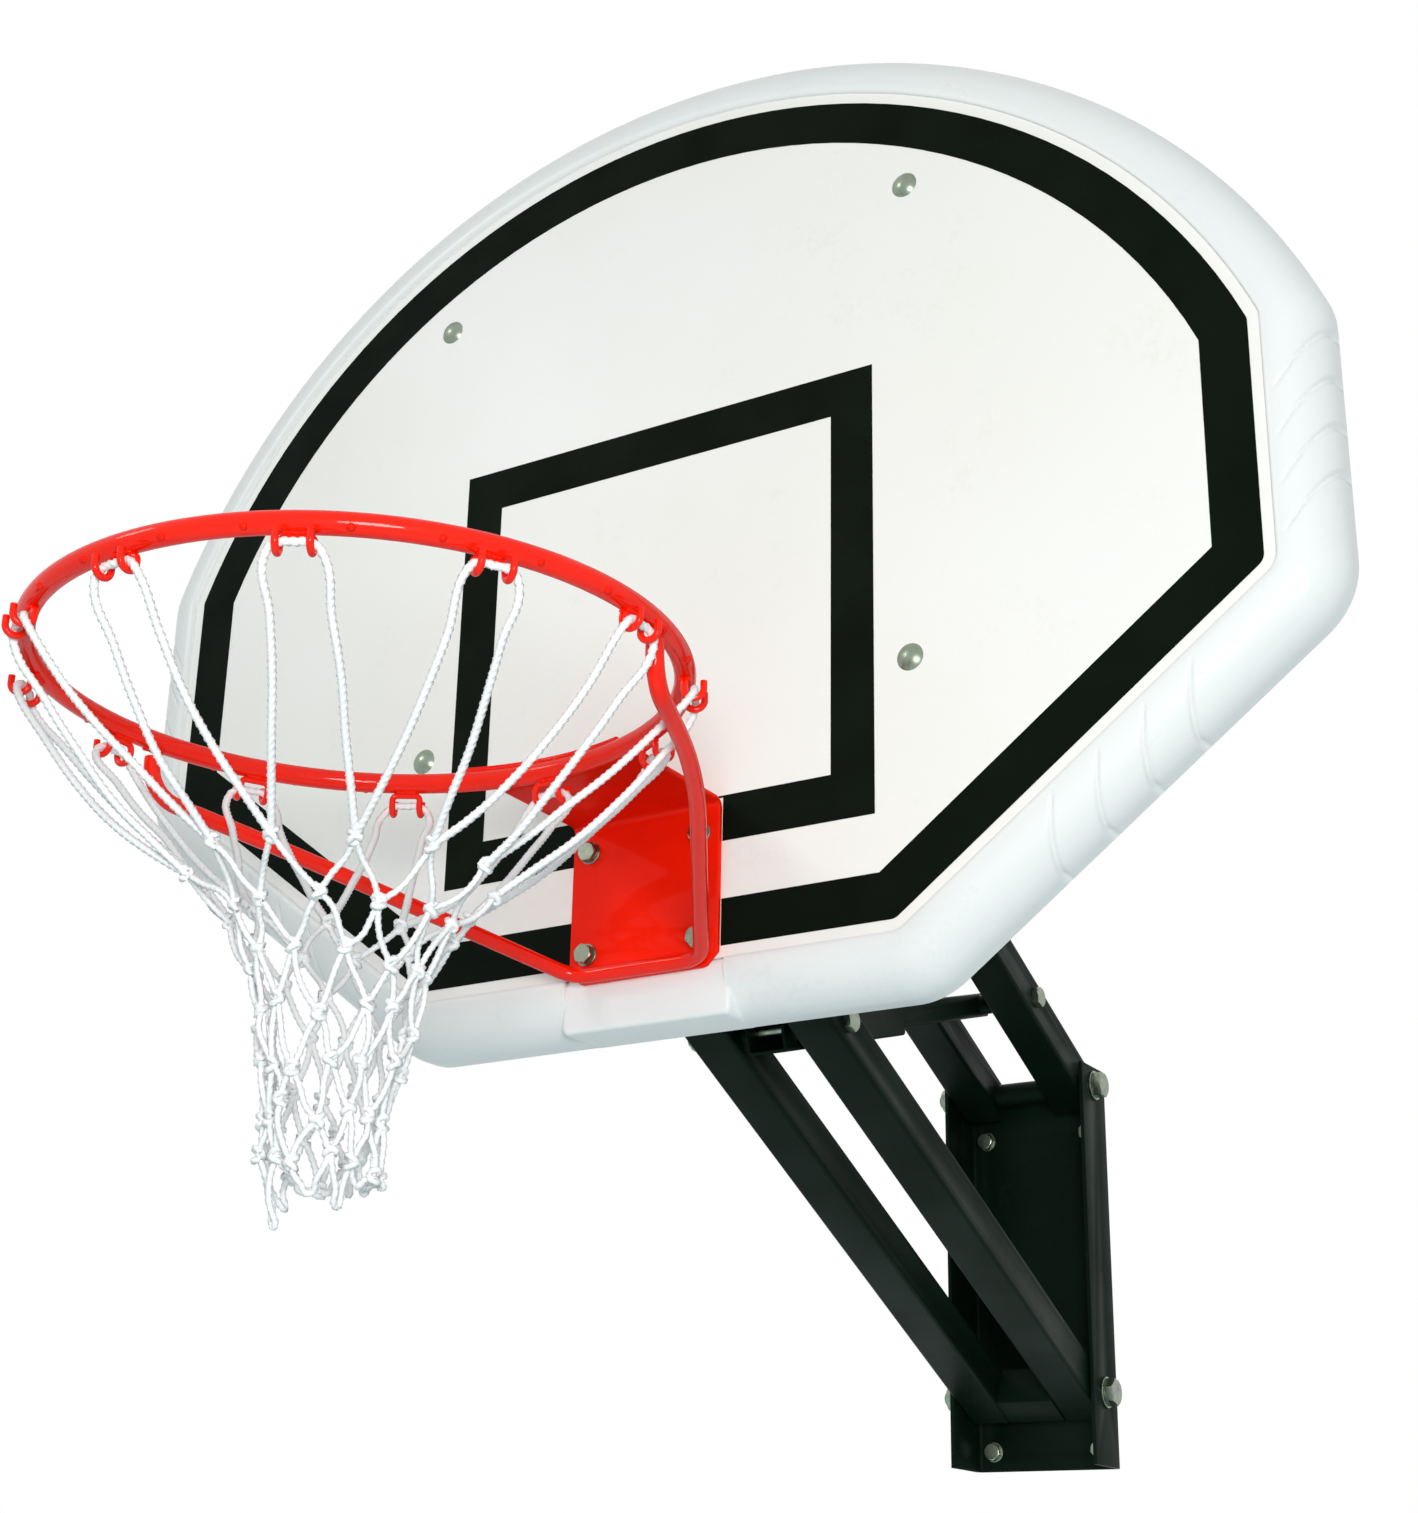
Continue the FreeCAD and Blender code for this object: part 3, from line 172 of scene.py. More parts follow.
# Net, its rows as depth under the ring's middle and radius
NET_ROWS = (
    (0.160, 0.106), (0.192, 0.080), (0.226, 0.061), (0.261, 0.052),
    (0.296, 0.045), (0.329, 0.040), (0.358, 0.036), (0.381, 0.031),
)
NET_TURN_PLAY = 0.26
NET_RADIUS_PLAY = 0.16
NET_DEPTH_PLAY = 0.013
NET_TOP_PLAY_SHARE = 0.25
NET_END_SPREAD = 0.009
NET_END_LOOP_SHARE = 0.08
NET_LOOP_HALF_WIDTH = 0.0172
NET_LOOP_DROP = HOOK_DROP - HOOK_TURN
NET_LOOP_FALL = 0.010
NET_SEAT_HALF_WIDTH = 0.010
NET_MESH_SHARE = 0.78
HUNG_STRAND = {"count": 4, "sway": 0.016, "slack": 0.10}
MESH_STRAND = {"count": 2, "sway": 0.08, "slack": 0.03}
STRAND_PLAY = 0.45
LOOP_SHOULDER_SHARE = 0.6
KNOT_HALF_WIDTH = 0.0036
KNOT_HALF_DEPTH = 0.0030
KNOT_RISE = 0.0022
KNOT_TILT = 0.0020
KNOT_POINTS = 8
CORD_STEP = 0.0022
CORD_STRANDS = 3
CORD_SIDES = 9
CORD_LOBE = 0.12

# Fasteners, whose factors compare heads and washers with the shank
HEAD_FACTOR = 1.8
HEAD_HEIGHT_FACTOR = 1.25
HEAD_FACE_SHARE = 0.96
HEAD_FOOT_SHARE = 0.98
HEAD_STEP_SHARE = 0.03
HEX_CORNER_SHARE = 0.985
WASHER_FACTOR = 1.95
WASHER_EDGE_SHARE = 0.18
MUSHROOM_FACTOR = 2.4
MUSHROOM_HEIGHT = 0.0055
MUSHROOM_STEPS = 12
MUSHROOM_SEAT_SHARE = 0.99
MUSHROOM_THREAD = 0.018
BOLT_THREAD = 0.030
BOLT_THREAD_SHARE = 0.6
THREAD_PITCH = 0.0015
THREAD_ROOT_SHARE = 0.90
THREAD_TIP_SHARE = 0.82
SHANK_FIT = 0.995
BORE_FIT = 1.01
BORE_FLARE = 1.10
BORE_FLARE_DEPTH = 0.12
TIP_SHARE = 0.3
HEX_SEGMENTS = 48
MUSHROOM_SEGMENTS = 40
SPIN_STEP = 2.4
SPIN_SHIFT = 0.7

# Clamp knob, its outline as share of the reach and height
KNOB_HEIGHT = 0.018
KNOB_PROFILE = (
    (0.20, 0.0), (0.55, 0.0), (0.60, 0.0012), (0.80, 0.0012), (0.93, 0.0030), (1.0, 0.0070),
    (1.0, 0.0130), (0.94, 0.0165), (0.80, KNOB_HEIGHT), (0.40, KNOB_HEIGHT),
)
KNOB_LOBES = 5
KNOB_LOBED_FROM = 0.5
KNOB_SEGMENTS = 80
KNOB_LOBE_SHARE = 0.10
KNOB_SCREW = 0.005
KNOB_SCREW_TIP = 0.002
KNOB_SCREW_NECK = 0.0005

# Stage, with each lamp's place, aim, size, power and colour
WHITE = (1, 1, 1, 1)
FLOOR_LEVEL = -1.8
FLOOR_HALF_SPAN = 14.0
FLOOR_MIDDLE = -1.0
FLOOR_GLOW = 0.55
SKY_LEVEL = 0.40
SKY_TINT = (0.91, 0.98, 1.0, 1)
LAMPS = {
    "key": ((1.5, -2.9, -0.12), (0, -0.9, 0.35), 0.8, 41, (1.0, 1.0, 0.995)),
    "fill": ((-2.2, -3.6, 2.4), (0, -0.9, 0.4), 0.9, 21, (1.0, 0.96, 0.90)),
    "rim": ((-1.2, 2.6, 2.4), (0, -0.5, 0.4), 2.0, 26, (1.0, 1.0, 1.0)),
}
CAMERA_PLACE = (1.0301, -2.35884, -0.37893)
CAMERA_RIGHT = (0.8531, 0.5214, 0.0192)
CAMERA_AHEAD = (-0.4923, 0.7923, 0.3605)
CAMERA_LENS = 55.83
CAMERA_SENSOR = 36

MERGE_DISTANCE = 1e-6
STEEL_NODES = (
    "wall_bracket", "board_channel", "upper_rail_left", "upper_rail_right", "lower_rail_left",
    "lower_rail_right", "lower_arm_left", "lower_arm_right", "upper_arm_left", "upper_arm_right",
    "lower_cross_tube", "adjuster_tube", "adjuster_bar",
)
SPACER_NODES = (
    "lower_arm_spacer", "upper_arm_spacers", "lower_adjuster_spacers", "upper_adjuster_spacers",
)
PLASTIC_NODES = (
    "lower_arm_bushes", "upper_arm_bushes", "wall_thrust_washers", "board_thrust_washers",
)

FORWARD = Vector((0, -1, 0))
BACKWARD = Vector((0, 1, 0))
RIGHT = Vector((1, 0, 0))
LEFT = Vector((-1, 0, 0))
FASTENERS = (
    ("goal_bolts", "bolt", FORWARD), ("goal_washers", "washer", FORWARD), ("goal_nuts", "nut", BACKWARD),
    ("board_bolts", "mushroom", FORWARD), ("board_bolt_washers", "washer", BACKWARD),
    ("board_bolt_nuts", "nut", BACKWARD),
    ("wall_bolts", "bolt", FORWARD), ("wall_washers", "washer", FORWARD),
    ("board_pivot_bolts", "bolt", RIGHT), ("board_pivot_nuts", "nut", LEFT),
    ("board_pivot_washers", "washer", RIGHT), ("wall_pivot_bolts", "bolt", RIGHT),
    ("wall_pivot_nuts", "nut", LEFT), ("wall_pivot_washers", "washer", RIGHT),
    ("lower_adjuster_bolt", "bolt", RIGHT), ("lower_adjuster_nut", "nut", LEFT),
    ("upper_adjuster_bolt", "bolt", RIGHT), ("upper_adjuster_nut", "nut", LEFT),
)


# Finishes: the colour setting, its shares in the drift and the marks, and the scale of each effect
GOAL_COAT = {
    "colour": "goal", "second": (0.88, 0.80, 0.75), "mark": (0.60, 0.55, 0.6), "drift": 11.0,
    "scuffs": (30.0, 0.30), "grain": (420.0, 120.0, 0.55),
    "bump": (0.16, 0.0007), "roughness": (0.30, 0.42),
}
GOAL_SOCKETS = {"Specular IOR Level": 0.04, "Coat Roughness": 0.05}
FINISHES = {
    "panel_plastic": {
        "colour": "panel", "second": (0.985, 0.975, 0.95), "mark": (0.84, 0.81, 0.76), "drift": 3.0,
        "scuffs": (9.0, 0.30), "grain": (900.0, 60.0, 0.35),
        "bump": (0.10, 0.0006), "roughness": (0.40, 0.50),
    },
    "border_plastic": {
        "colour": "border", "second": (0.97, 0.985, 0.985), "mark": (0.84, 0.82, 0.78), "drift": 3.5,
        "scuffs": (7.0, 0.25), "grain": (700.0, 35.0, 0.5),
        "bump": (0.10, 0.0008), "roughness": (0.26, 0.36),
        "sockets": {"Specular IOR Level": 0.30},
    },
    "line_paint": {
        "colour": "line", "second": (0.72, 0.72, 0.72), "mark": (1.9, 1.9, 1.8), "drift": 14.0,
        "scuffs": (16.0, 0.5), "grain": (1100.0, 120.0, 0.3),
        "bump": (0.12, 0.0004), "roughness": (0.45, 0.60),
        "sockets": {"Specular IOR Level": 0.03},
    },
    "goal_powder": {**GOAL_COAT, "sockets": {**GOAL_SOCKETS, "Coat Weight": 0.15}},
    "bar_gloss": {**GOAL_COAT, "sockets": {**GOAL_SOCKETS, "Coat Weight": 0.40}},
    "steel_paint": {
        "colour": "steel", "second": (0.55, 0.55, 0.56), "mark": (2.0, 2.3, 2.1), "drift": 9.0,
        "scuffs": (18.0, 0.35), "grain": (500.0, 90.0, 0.5),
        "bump": (0.14, 0.0007), "roughness": (0.40, 0.54),
        "sockets": {"Specular IOR Level": 0.06},
    },
    "zinc_plate": {
        "colour": "zinc", "second": (0.80, 0.80, 0.74), "mark": (0.45, 0.42, 0.36), "drift": 160.0,
        "scuffs": (60.0, 0.55), "grain": (900.0, 260.0, 0.5),
        "bump": (0.10, 0.0004), "roughness": (0.24, 0.40),
        "sockets": {"Metallic": 1.0},
    },
    "bush_plastic": {
        "colour": "plastic", "second": (0.8, 0.8, 0.8), "mark": (1.5, 1.5, 1.5), "drift": 60.0,
        "scuffs": (40.0, 0.4), "grain": (900.0, 200.0, 0.4),
        "bump": (0.10, 0.0004), "roughness": (0.45, 0.6),
    },
    "knob_plastic": {
        "colour": "knob", "second": (0.75, 0.75, 0.75), "mark": (2.4, 2.4, 2.4), "drift": 70.0,
        "scuffs": (50.0, 0.4), "grain": (1400.0, 500.0, 0.4),
        "bump": (0.25, 0.0004), "roughness": (0.42, 0.58),
    },
    "net_cord": {
        "colour": "net", "second": (0.96, 0.965, 0.97), "mark": (0.80, 0.78, 0.74), "drift": 45.0,
        "scuffs": (25.0, 0.15), "grain": (1800.0, 700.0, 0.5),
        "bump": (0.3, 0.0006), "roughness": (0.60, 0.78),
    },
    "floor_paint": {
        "colour": "floor", "second": (0.96, 0.96, 0.96), "mark": (0.92, 0.92, 0.92), "drift": 0.8,
        "scuffs": (3.0, 0.1), "grain": (200.0, 10.0, 0.5),
        "bump": (0.05, 0.001), "roughness": (0.7, 0.8),
        "sockets": {"Emission Color": WHITE},
    },
}
WORN_ROUGHNESS = 0.25


def tone(red, green, blue):
    """Linear colour of a tone given on the 0 to 255 display scale."""
    scaled = (red / 255, green / 255, blue / 255)
    return tuple(v / 12.92 if v <= 0.04045 else ((v + 0.055) / 1.055) ** 2.4 for v in scaled)


def colour_property(name, description, red, green, blue):
    """Colour setting with its default on the display scale."""
    return bpy.props.FloatVectorProperty(
        name=name, description=description, subtype="COLOR", size=3, min=0, max=1,
        default=tone(red, green, blue),
    )


def length_property(name, description, default):
    """Length setting in metres."""
    return bpy.props.FloatProperty(
        name=name, description=description, default=default, unit="LENGTH", precision=4,
    )


class BACKBOARD_PG_sizes(bpy.types.PropertyGroup):
    """Sizes of the dressed pieces."""

    groove_depth: length_property("Groove depth", "Depth of the slanted grooves in the border", 0.0024)
    groove_half_width: length_property("Groove half width", "From a groove's middle to its shoulder", 0.0026)
    edge_round: length_property("Edge rounding", "Rounding of the steel edges", 0.0008)
    plate_edge: length_property("Plate edge", "Rounding of the goal plate's edges", 0.0014)
    cord_radius: length_property("Cord radius", "Radius of the net's twisted cord", 0.0031)
    cord_pitch: length_property("Cord pitch", "Length of one full twist of the cord", 0.016)
    weld_radius: length_property("Weld radius", "Radius of a weld bead", 0.0024)


class BACKBOARD_PG_colours(bpy.types.PropertyGroup):
    """Colours of the finishes."""

    panel: colour_property("Panel", "White face of the board", 247, 246, 243)
    border: colour_property("Border", "Moulded white border", 241, 242, 241)
    line: colour_property("Line", "Dark lines on the board", 13, 20, 13)
    goal: colour_property("Goal", "Powder coat of ring, brace and plate", 253, 31, 4)
    net: colour_property("Net", "White cord", 250, 250, 250)
    steel: colour_property("Steel", "Dark paint of arms and channels", 13, 31, 21)
    zinc: colour_property("Zinc", "Plated fasteners", 146, 158, 143)
    plastic: colour_property("Bush plastic", "Bushes and thrust washers", 58, 58, 56)
    knob: colour_property("Knob", "Clamp knob", 24, 25, 26)
    floor: colour_property("Floor", "Floor under the object", 220, 234, 236)


def sizes():
    """The current sizes."""
    return bpy.context.scene.backboard_sizes


def colours():
    """The current colours."""
    return bpy.context.scene.backboard_colours


# Node helpers
def add_node(tree, kind, output, inputs=None, **settings):
    """One output of a new node, with its settings and the values or links of its inputs."""
    node = tree.nodes.new(kind)
    for key, value in settings.items():
        setattr(node, key, value)
    for key, value in (inputs or {}).items():
        socket = node.inputs[key]
        if isinstance(value, bpy.types.NodeSocket):
            tree.links.new(value, socket)
        else:
            socket.default_value = value
    return node.outputs[output]


def maths(tree, operation, *values):
    """Result of an operation on values or links."""
    return add_node(tree, "ShaderNodeMath", "Value", dict(enumerate(values)), operation=operation)


def mapped(tree, value, from_span=(0, 1), to_span=(0, 1)):
    """Value taken from one span to another."""
    return add_node(tree, "ShaderNodeMapRange", "Result", {
        "Value": value, "From Min": from_span[0], "From Max": from_span[1],
        "To Min": to_span[0], "To Max": to_span[1],
    })


def colour_mix(tree, factor, first, second):
    """Mix of two colours."""
    return add_node(tree, "ShaderNodeMix", 2, {"Factor": factor, 6: first, 7: second}, data_type="RGBA")


def noise(tree, scale, **inputs):
    """Noise on the piece's own coordinates."""
    place = add_node(tree, "ShaderNodeTexCoord", "Object")
    named = {key.title(): value for key, value in inputs.items()}
    return add_node(tree, "ShaderNodeTexNoise", "Fac", {"Vector": place, "Scale": scale, **named})


def shader_group(name, inputs, outputs):
    """Empty shader group with named sockets, what it is given and what it puts out."""
    tree = bpy.data.node_groups.new(name, "ShaderNodeTree")
    for label, kind, default in inputs:
        socket = tree.interface.new_socket(name=label, in_out="INPUT", socket_type=kind)
        socket.default_value = default
    for label, kind in outputs:
        tree.interface.new_socket(name=label, in_out="OUTPUT", socket_type=kind)
    return tree, tree.nodes.new("NodeGroupInput").outputs, tree.nodes.new("NodeGroupOutput").inputs


def mottle_group(name):
    """Slow drift between two colours, as on moulded or painted surfaces."""
    tree, given, result = shader_group(
        name,
        [
            ("First", "NodeSocketColor", WHITE), ("Second", "NodeSocketColor", WHITE),
            ("Scale", "NodeSocketFloat", 5.0),
        ],
        [("Colour", "NodeSocketColor"), ("Value", "NodeSocketFloat")],
    )
    drift = mapped(tree, noise(tree, given["Scale"], detail=4.0, roughness=0.55), (0.32, 0.68))
    tree.links.new(colour_mix(tree, drift, given["First"], given["Second"]), result["Colour"])
    tree.links.new(drift, result["Value"])
    return tree


def grain_group(name):
    """Fine height of a cast, sprayed or moulded skin, with a slower ripple under it."""
    tree, given, result = shader_group(
        name,
        [
            ("Fine scale", "NodeSocketFloat", 600.0), ("Ripple scale", "NodeSocketFloat", 40.0),
            ("Ripple share", "NodeSocketFloat", 0.5),
        ],
        [("Height", "NodeSocketFloat")],
    )
    fine = noise(tree, given["Fine scale"], detail=2.0)
    ripple = noise(tree, given["Ripple scale"], detail=2.0)
    mix = {"Factor": given["Ripple share"], "A": fine, "B": ripple}
    tree.links.new(add_node(tree, "ShaderNodeMix", "Result", mix), result["Height"])
    return tree


def scuff_group(name):
    """Mask of thin rubbed marks and small dirty spots."""
    tree, given, result = shader_group(
        name,
        [("Scale", "NodeSocketFloat", 20.0), ("Amount", "NodeSocketFloat", 0.5)],
        [("Mask", "NodeSocketFloat")],
    )
    patch = noise(tree, given["Scale"], detail=6.0, roughness=0.7)
    streak = noise(tree, 90.0, detail=8.0, roughness=0.8, distortion=1.5)
    limit = mapped(tree, maths(tree, "MULTIPLY", patch, streak), (0.30, 0.42))
    tree.links.new(maths(tree, "MULTIPLY", limit, given["Amount"]), result["Mask"])
    return tree


def shared_group(tree, name, output, inputs):
    """One output of a shared shader group, which is built when first asked for."""
    builders = {"Mottle": mottle_group, "Skin grain": grain_group, "Scuffs": scuff_group}
    group = bpy.data.node_groups.get(name) or builders[name](name)
    return add_node(tree, "ShaderNodeGroup", output, inputs, node_tree=group)


def tint(colour, shares):
    """Colour with alpha, each part scaled by its own share."""
    return tuple(min(part * share, 1.0) for part, share in zip(colour, shares)) + (1.0,)


def finish(name):
    """Material with drifting colour, rubbed marks and a fine skin, built when first asked for."""
    if name in bpy.data.materials:
        return bpy.data.materials[name]
    look = FINISHES[name]
    base = getattr(colours(), look["colour"])
    material = bpy.data.materials.new(name)
    material.use_nodes = True
    tree = material.node_tree
    shader = tree.nodes["Principled BSDF"]
    drift = {"First": tint(base, (1, 1, 1)), "Second": tint(base, look["second"]), "Scale": look["drift"]}
    colour = shared_group(tree, "Mottle", "Colour", drift)
    marks = shared_group(tree, "Scuffs", "Mask", dict(zip(("Scale", "Amount"), look["scuffs"])))
    gloss = mapped(tree, colour.node.outputs["Value"], to_span=look["roughness"])
    grain = dict(zip(("Fine scale", "Ripple scale", "Ripple share"), look["grain"]))
    relief = dict(zip(("Strength", "Distance"), look["bump"]))
    relief["Height"] = shared_group(tree, "Skin grain", "Height", grain)
    for socket, value in (
        ("Base Color", colour_mix(tree, marks, colour, tint(base, look["mark"]))),
        ("Roughness", maths(tree, "MULTIPLY_ADD", marks, WORN_ROUGHNESS, gloss)),
        ("Normal", add_node(tree, "ShaderNodeBump", "Normal", relief)),
    ):
        tree.links.new(value, shader.inputs[socket])
    for socket, value in look.get("sockets", {}).items():
        shader.inputs[socket].default_value = value
    return material


# Mesh helpers
def new_piece(name, mesh, material):
    """Object at the origin for a finished mesh."""
    piece = bpy.data.objects.new(name, mesh)
    bpy.context.scene.collection.objects.link(piece)
    mesh.materials.clear()
    mesh.materials.append(material)
    return piece


def mesh_from(name, points, faces, edges=()):
    """Mesh from points, edges and faces."""
    mesh = bpy.data.meshes.new(name)
    mesh.from_pydata([tuple(point) for point in points], list(edges), faces)
    return mesh


def smooth(mesh, angle=35):
    """Smooth shading with edges sharper than the angle kept."""
    mesh.polygons.foreach_set("use_smooth", [True] * len(mesh.polygons))
    mesh.set_sharp_from_angle(angle=math.radians(angle))


def outward(mesh):
    """Faces of closed shells turned outward, after their doubles are merged."""
    work = bmesh.new()
    work.from_mesh(mesh)
    bmesh.ops.remove_doubles(work, verts=work.verts, dist=MERGE_DISTANCE)
    bmesh.ops.recalc_face_normals(work, faces=work.faces)
    work.to_mesh(mesh)
    work.free()


def baked(piece):
    """Plain mesh of an object with its modifiers worked out."""
    graph = bpy.context.evaluated_depsgraph_get()
    mesh = bpy.data.meshes.new_from_object(piece.evaluated_get(graph), depsgraph=graph)
    old = piece.data
    piece.modifiers.clear()
    piece.data = mesh
    bpy.data.meshes.remove(old)
    return piece


def bevelled(piece, width, segments=2, angle=40):
    """Piece with its sharp edges rounded."""
    modifier = piece.modifiers.new("Edge rounding", "BEVEL")
    modifier.width = width
    modifier.segments = segments
    modifier.limit_method = "ANGLE"
    modifier.angle_limit = math.radians(angle)
    return baked(piece)


def mounted(piece, body, slot, *nodes):
    """Piece fixed to its body, with the nodes that it stands for hidden; the slot argument is not used."""
    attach(piece, body)
    if nodes:
        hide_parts(*nodes)
    return piece


def paint_node(node, material):
    """Finish on a node that keeps its shape."""
    piece = NODES[node]
    piece.data.materials.clear()
    piece.data.materials.append(material)


def solid_boxes(node):
    """Corners of each separate solid in a node."""
    work = bmesh.new()
    work.from_mesh(NODES[node].data)
    bmesh.ops.remove_doubles(work, verts=work.verts, dist=MERGE_DISTANCE)
    left = set(work.verts)
    boxes = []
    while left:
        group = [left.pop()]
        low = group[0].co.copy()
        high = group[0].co.copy()
        while group:
            vertex = group.pop()
            low = Vector(map(min, low, vertex.co))
            high = Vector(map(max, high, vertex.co))
            for edge in vertex.link_edges:
                other = edge.other_vert(vertex)
                if other in left:
                    left.remove(other)
                    group.append(other)
        boxes.append((low, high))
    work.free()
    return sorted(boxes, key=lambda corners: tuple(round(part, 4) for part in corners[0]))


def rounded(points, radii, steps=5):
    """Closed flat outline with its corners rounded."""
    result = []
    count = len(points)
    for index, point in enumerate(points):
        corner = Vector(point)
        radius = radii[index]
        if radius == 0:
            result.append(corner)
            continue
        before = (Vector(points[index - 1]) - corner).normalized()
        after = (Vector(points[(index + 1) % count]) - corner).normalized()
        half = before.angle(after) / 2
        reach = radius / math.tan(half)
        middle = corner + (before + after).normalized() * (radius / math.sin(half))
        first = corner + before * reach - middle
        turn = first.angle_signed(corner + after * reach - middle)
        for step in range(steps + 1):
            part = -turn * step / steps
            result.append(middle + Matrix.Rotation(part, 2) @ first)
    return result


def tube_faces(rings, width, closed):
    """Faces between rings of points, with end caps where the tube is open."""
    faces = []
    for ring in range(rings if closed else rings - 1):
        following = (ring + 1) % rings
        for side in range(width):
            other = (side + 1) % width
            near = (ring * width + side, ring * width + other)
            faces.append((*near, following * width + other, following * width + side))
    if not closed:
        faces.append(tuple(range(width)))
        faces.append(tuple(range((rings - 1) * width, rings * width)))
    return faces


# Moulded border
def half_outline():
    """Corners of the right half of the sharp core outline, its top circle and the diagonal's direction."""
    diagonal = Vector((LINE_HALF_WIDTH - LINE_BOTTOM_HALF_WIDTH, LINE_SIDE_LOW - LINE_BOTTOM)).normalized()
    normal = Vector((diagonal.y, -diagonal.x))
    start = Vector((LINE_BOTTOM_HALF_WIDTH, LINE_BOTTOM)) + normal * CORE_OFFSET
    side_x = LINE_HALF_WIDTH + CORE_OFFSET
    bottom = LINE_BOTTOM - CORE_OFFSET
    foot = start + diagonal * ((bottom - start.y) / diagonal.y)
    hip = start + diagonal * ((side_x - start.x) / diagonal.x)
    rise = LINE_TOP - LINE_SIDE_TOP
    top_radius = (LINE_HALF_WIDTH ** 2 + rise ** 2) / (2 * rise)
    centre = Vector((0, LINE_TOP - top_radius))
    core_radius = top_radius + CORE_OFFSET
    shoulder = Vector((side_x, centre.y + math.sqrt(core_radius ** 2 - side_x ** 2)))
    return foot, hip, shoulder, centre, core_radius, diagonal, normal


def run(start, end, normal, spacing):
    """Stations along a straight edge."""
    count = max(2, math.ceil((end - start).length / spacing))
    return [(start.lerp(end, step / count), normal) for step in range(count + 1)]


def corner_turn(point, first, last, steps):
    """Stations round a corner, between its two directions."""
    turn = first.angle_signed(last)
    return [(point, Matrix.Rotation(-turn * step / steps, 2) @ first) for step in range(1, steps)]


def border_stations():
    """Core points and outward directions, from the right of the pad round to its left."""
    foot, hip, shoulder, centre, radius, _, normal = half_outline()
    down = Vector((0, -1))
    side = Vector((1, 0))
    stations = run(Vector((PAD_HALF_WIDTH, foot.y)), foot, down, STATION_COARSE)
    stations += corner_turn(foot, down, normal, FOOT_STEPS)
    stations += run(foot, hip, normal, STATION_FINE)
    stations += corner_turn(hip, normal, side, CORNER_STEPS)
    stations += run(hip, shoulder, side, STATION_FINE)
    first = (shoulder - centre).normalized()
    stations += corner_turn(shoulder, side, first, CORNER_STEPS)
    start = math.atan2(first.y, first.x)
    for step in range(ARCH_STEPS + 1):
        turn = start + (math.pi / 2 - start) * step / ARCH_STEPS
        ray = Vector((math.cos(turn), math.sin(turn)))
        stations.append((centre + ray * radius, ray))
    left = [(Vector((-p.x, p.y)), Vector((-n.x, n.y))) for p, n in reversed(stations[:-1])]
    return stations + left


def border_section():
    """Section of the border as offset, depth and, on the rolled edge, its turn from front to side."""
    seat = LIP_OFFSET + LIP_COVER
    roll_depth = ROLL_RADIUS - CREST_HEIGHT
    section = [(LIP_OFFSET, 0.0, None)]
    section += [(LIP_OFFSET + reach, rise - LIP_HEIGHT, None) for reach, rise in LIP_EDGE]
    for step in range(ROLL_STEPS + 1):
        turn = math.pi / 2 * step / ROLL_STEPS
        offset = CREST_OFFSET + ROLL_RADIUS * math.sin(turn)
        section.append((offset, roll_depth - ROLL_RADIUS * math.cos(turn), turn))
    section += [
        (BORDER_OFFSET, BORDER_DEPTH - BACK_EDGE, None), (BORDER_OFFSET - BACK_EDGE, BORDER_DEPTH, None),
        (BORDER_OFFSET - BORDER_WALL + BACK_EDGE, BORDER_DEPTH, None),
        (BORDER_OFFSET - BORDER_WALL, BORDER_DEPTH - BACK_EDGE, None),
    ]
    inner_radius = ROLL_RADIUS - BORDER_WALL
    inner_start = math.asin((seat + BORDER_WALL - CREST_OFFSET) / inner_radius)
    for step in range(INNER_STEPS + 1):
        turn = math.pi / 2 + (inner_start - math.pi / 2) * step / INNER_STEPS
        offset = CREST_OFFSET + inner_radius * math.sin(turn)
        section.append((offset, roll_depth - inner_radius * math.cos(turn), None))
    return section + [(seat + BORDER_WALL, SEAT_DEPTH, None), (seat, SEAT_DEPTH, None), (seat, 0.0, None)]


def groove_lines():
    """Start and direction of every groove's middle, on the board's face."""
    _, _, _, _, _, diagonal, normal = half_outline()
    corner = Vector((LINE_HALF_WIDTH, LINE_SIDE_LOW))
    length = (corner - Vector((LINE_BOTTOM_HALF_WIDTH, LINE_BOTTOM))).length
    side_middle = Vector((LINE_HALF_WIDTH, (LINE_SIDE_TOP + LINE_SIDE_LOW) / 2))
    rows = (
        (side_middle, Vector((0, 1)), GROOVE_PITCH_SIDE, GROOVE_SHIFT_SIDE, GROOVE_LEAN_SIDE),
        (corner - diagonal * (length / 2), diagonal, GROOVE_PITCH_DIAGONAL, GROOVE_SHIFT_DIAGONAL,
         math.atan2(normal.y, normal.x) - GROOVE_LEAN_DIAGONAL),
    )
    lines = []
    for middle, along, pitch, shift, heading in rows:
        ray = Vector((math.cos(heading), math.sin(heading)))
        for step in range(GROOVE_COUNT):
            start = middle + along * (shift + pitch * (step - (GROOVE_COUNT - 1) / 2))
            lines.append((start, ray))
            lines.append((Vector((-start.x, start.y)), Vector((-ray.x, ray.y))))
    return lines


def groove_pressed(point, turn, lines):
    """How far a point of the rolled edge is pressed in by the nearest groove."""
    nearest = 1.0
    for start, ray in lines:
        gap = point - start
        if gap.dot(ray) > 0:
            nearest = min(nearest, abs(gap.cross(ray)))
    share = turn / (math.pi / 2)
    fade = min(1.0, share / GROOVE_FADE)
    growth = GROOVE_INNER_SHARE + GROOVE_OUTER_GAIN * share
    reach = sizes().groove_half_width * growth
    if nearest >= reach:
        return 0.0
    return sizes().groove_depth * growth * fade * (0.5 + 0.5 * math.cos(math.pi * nearest / reach))


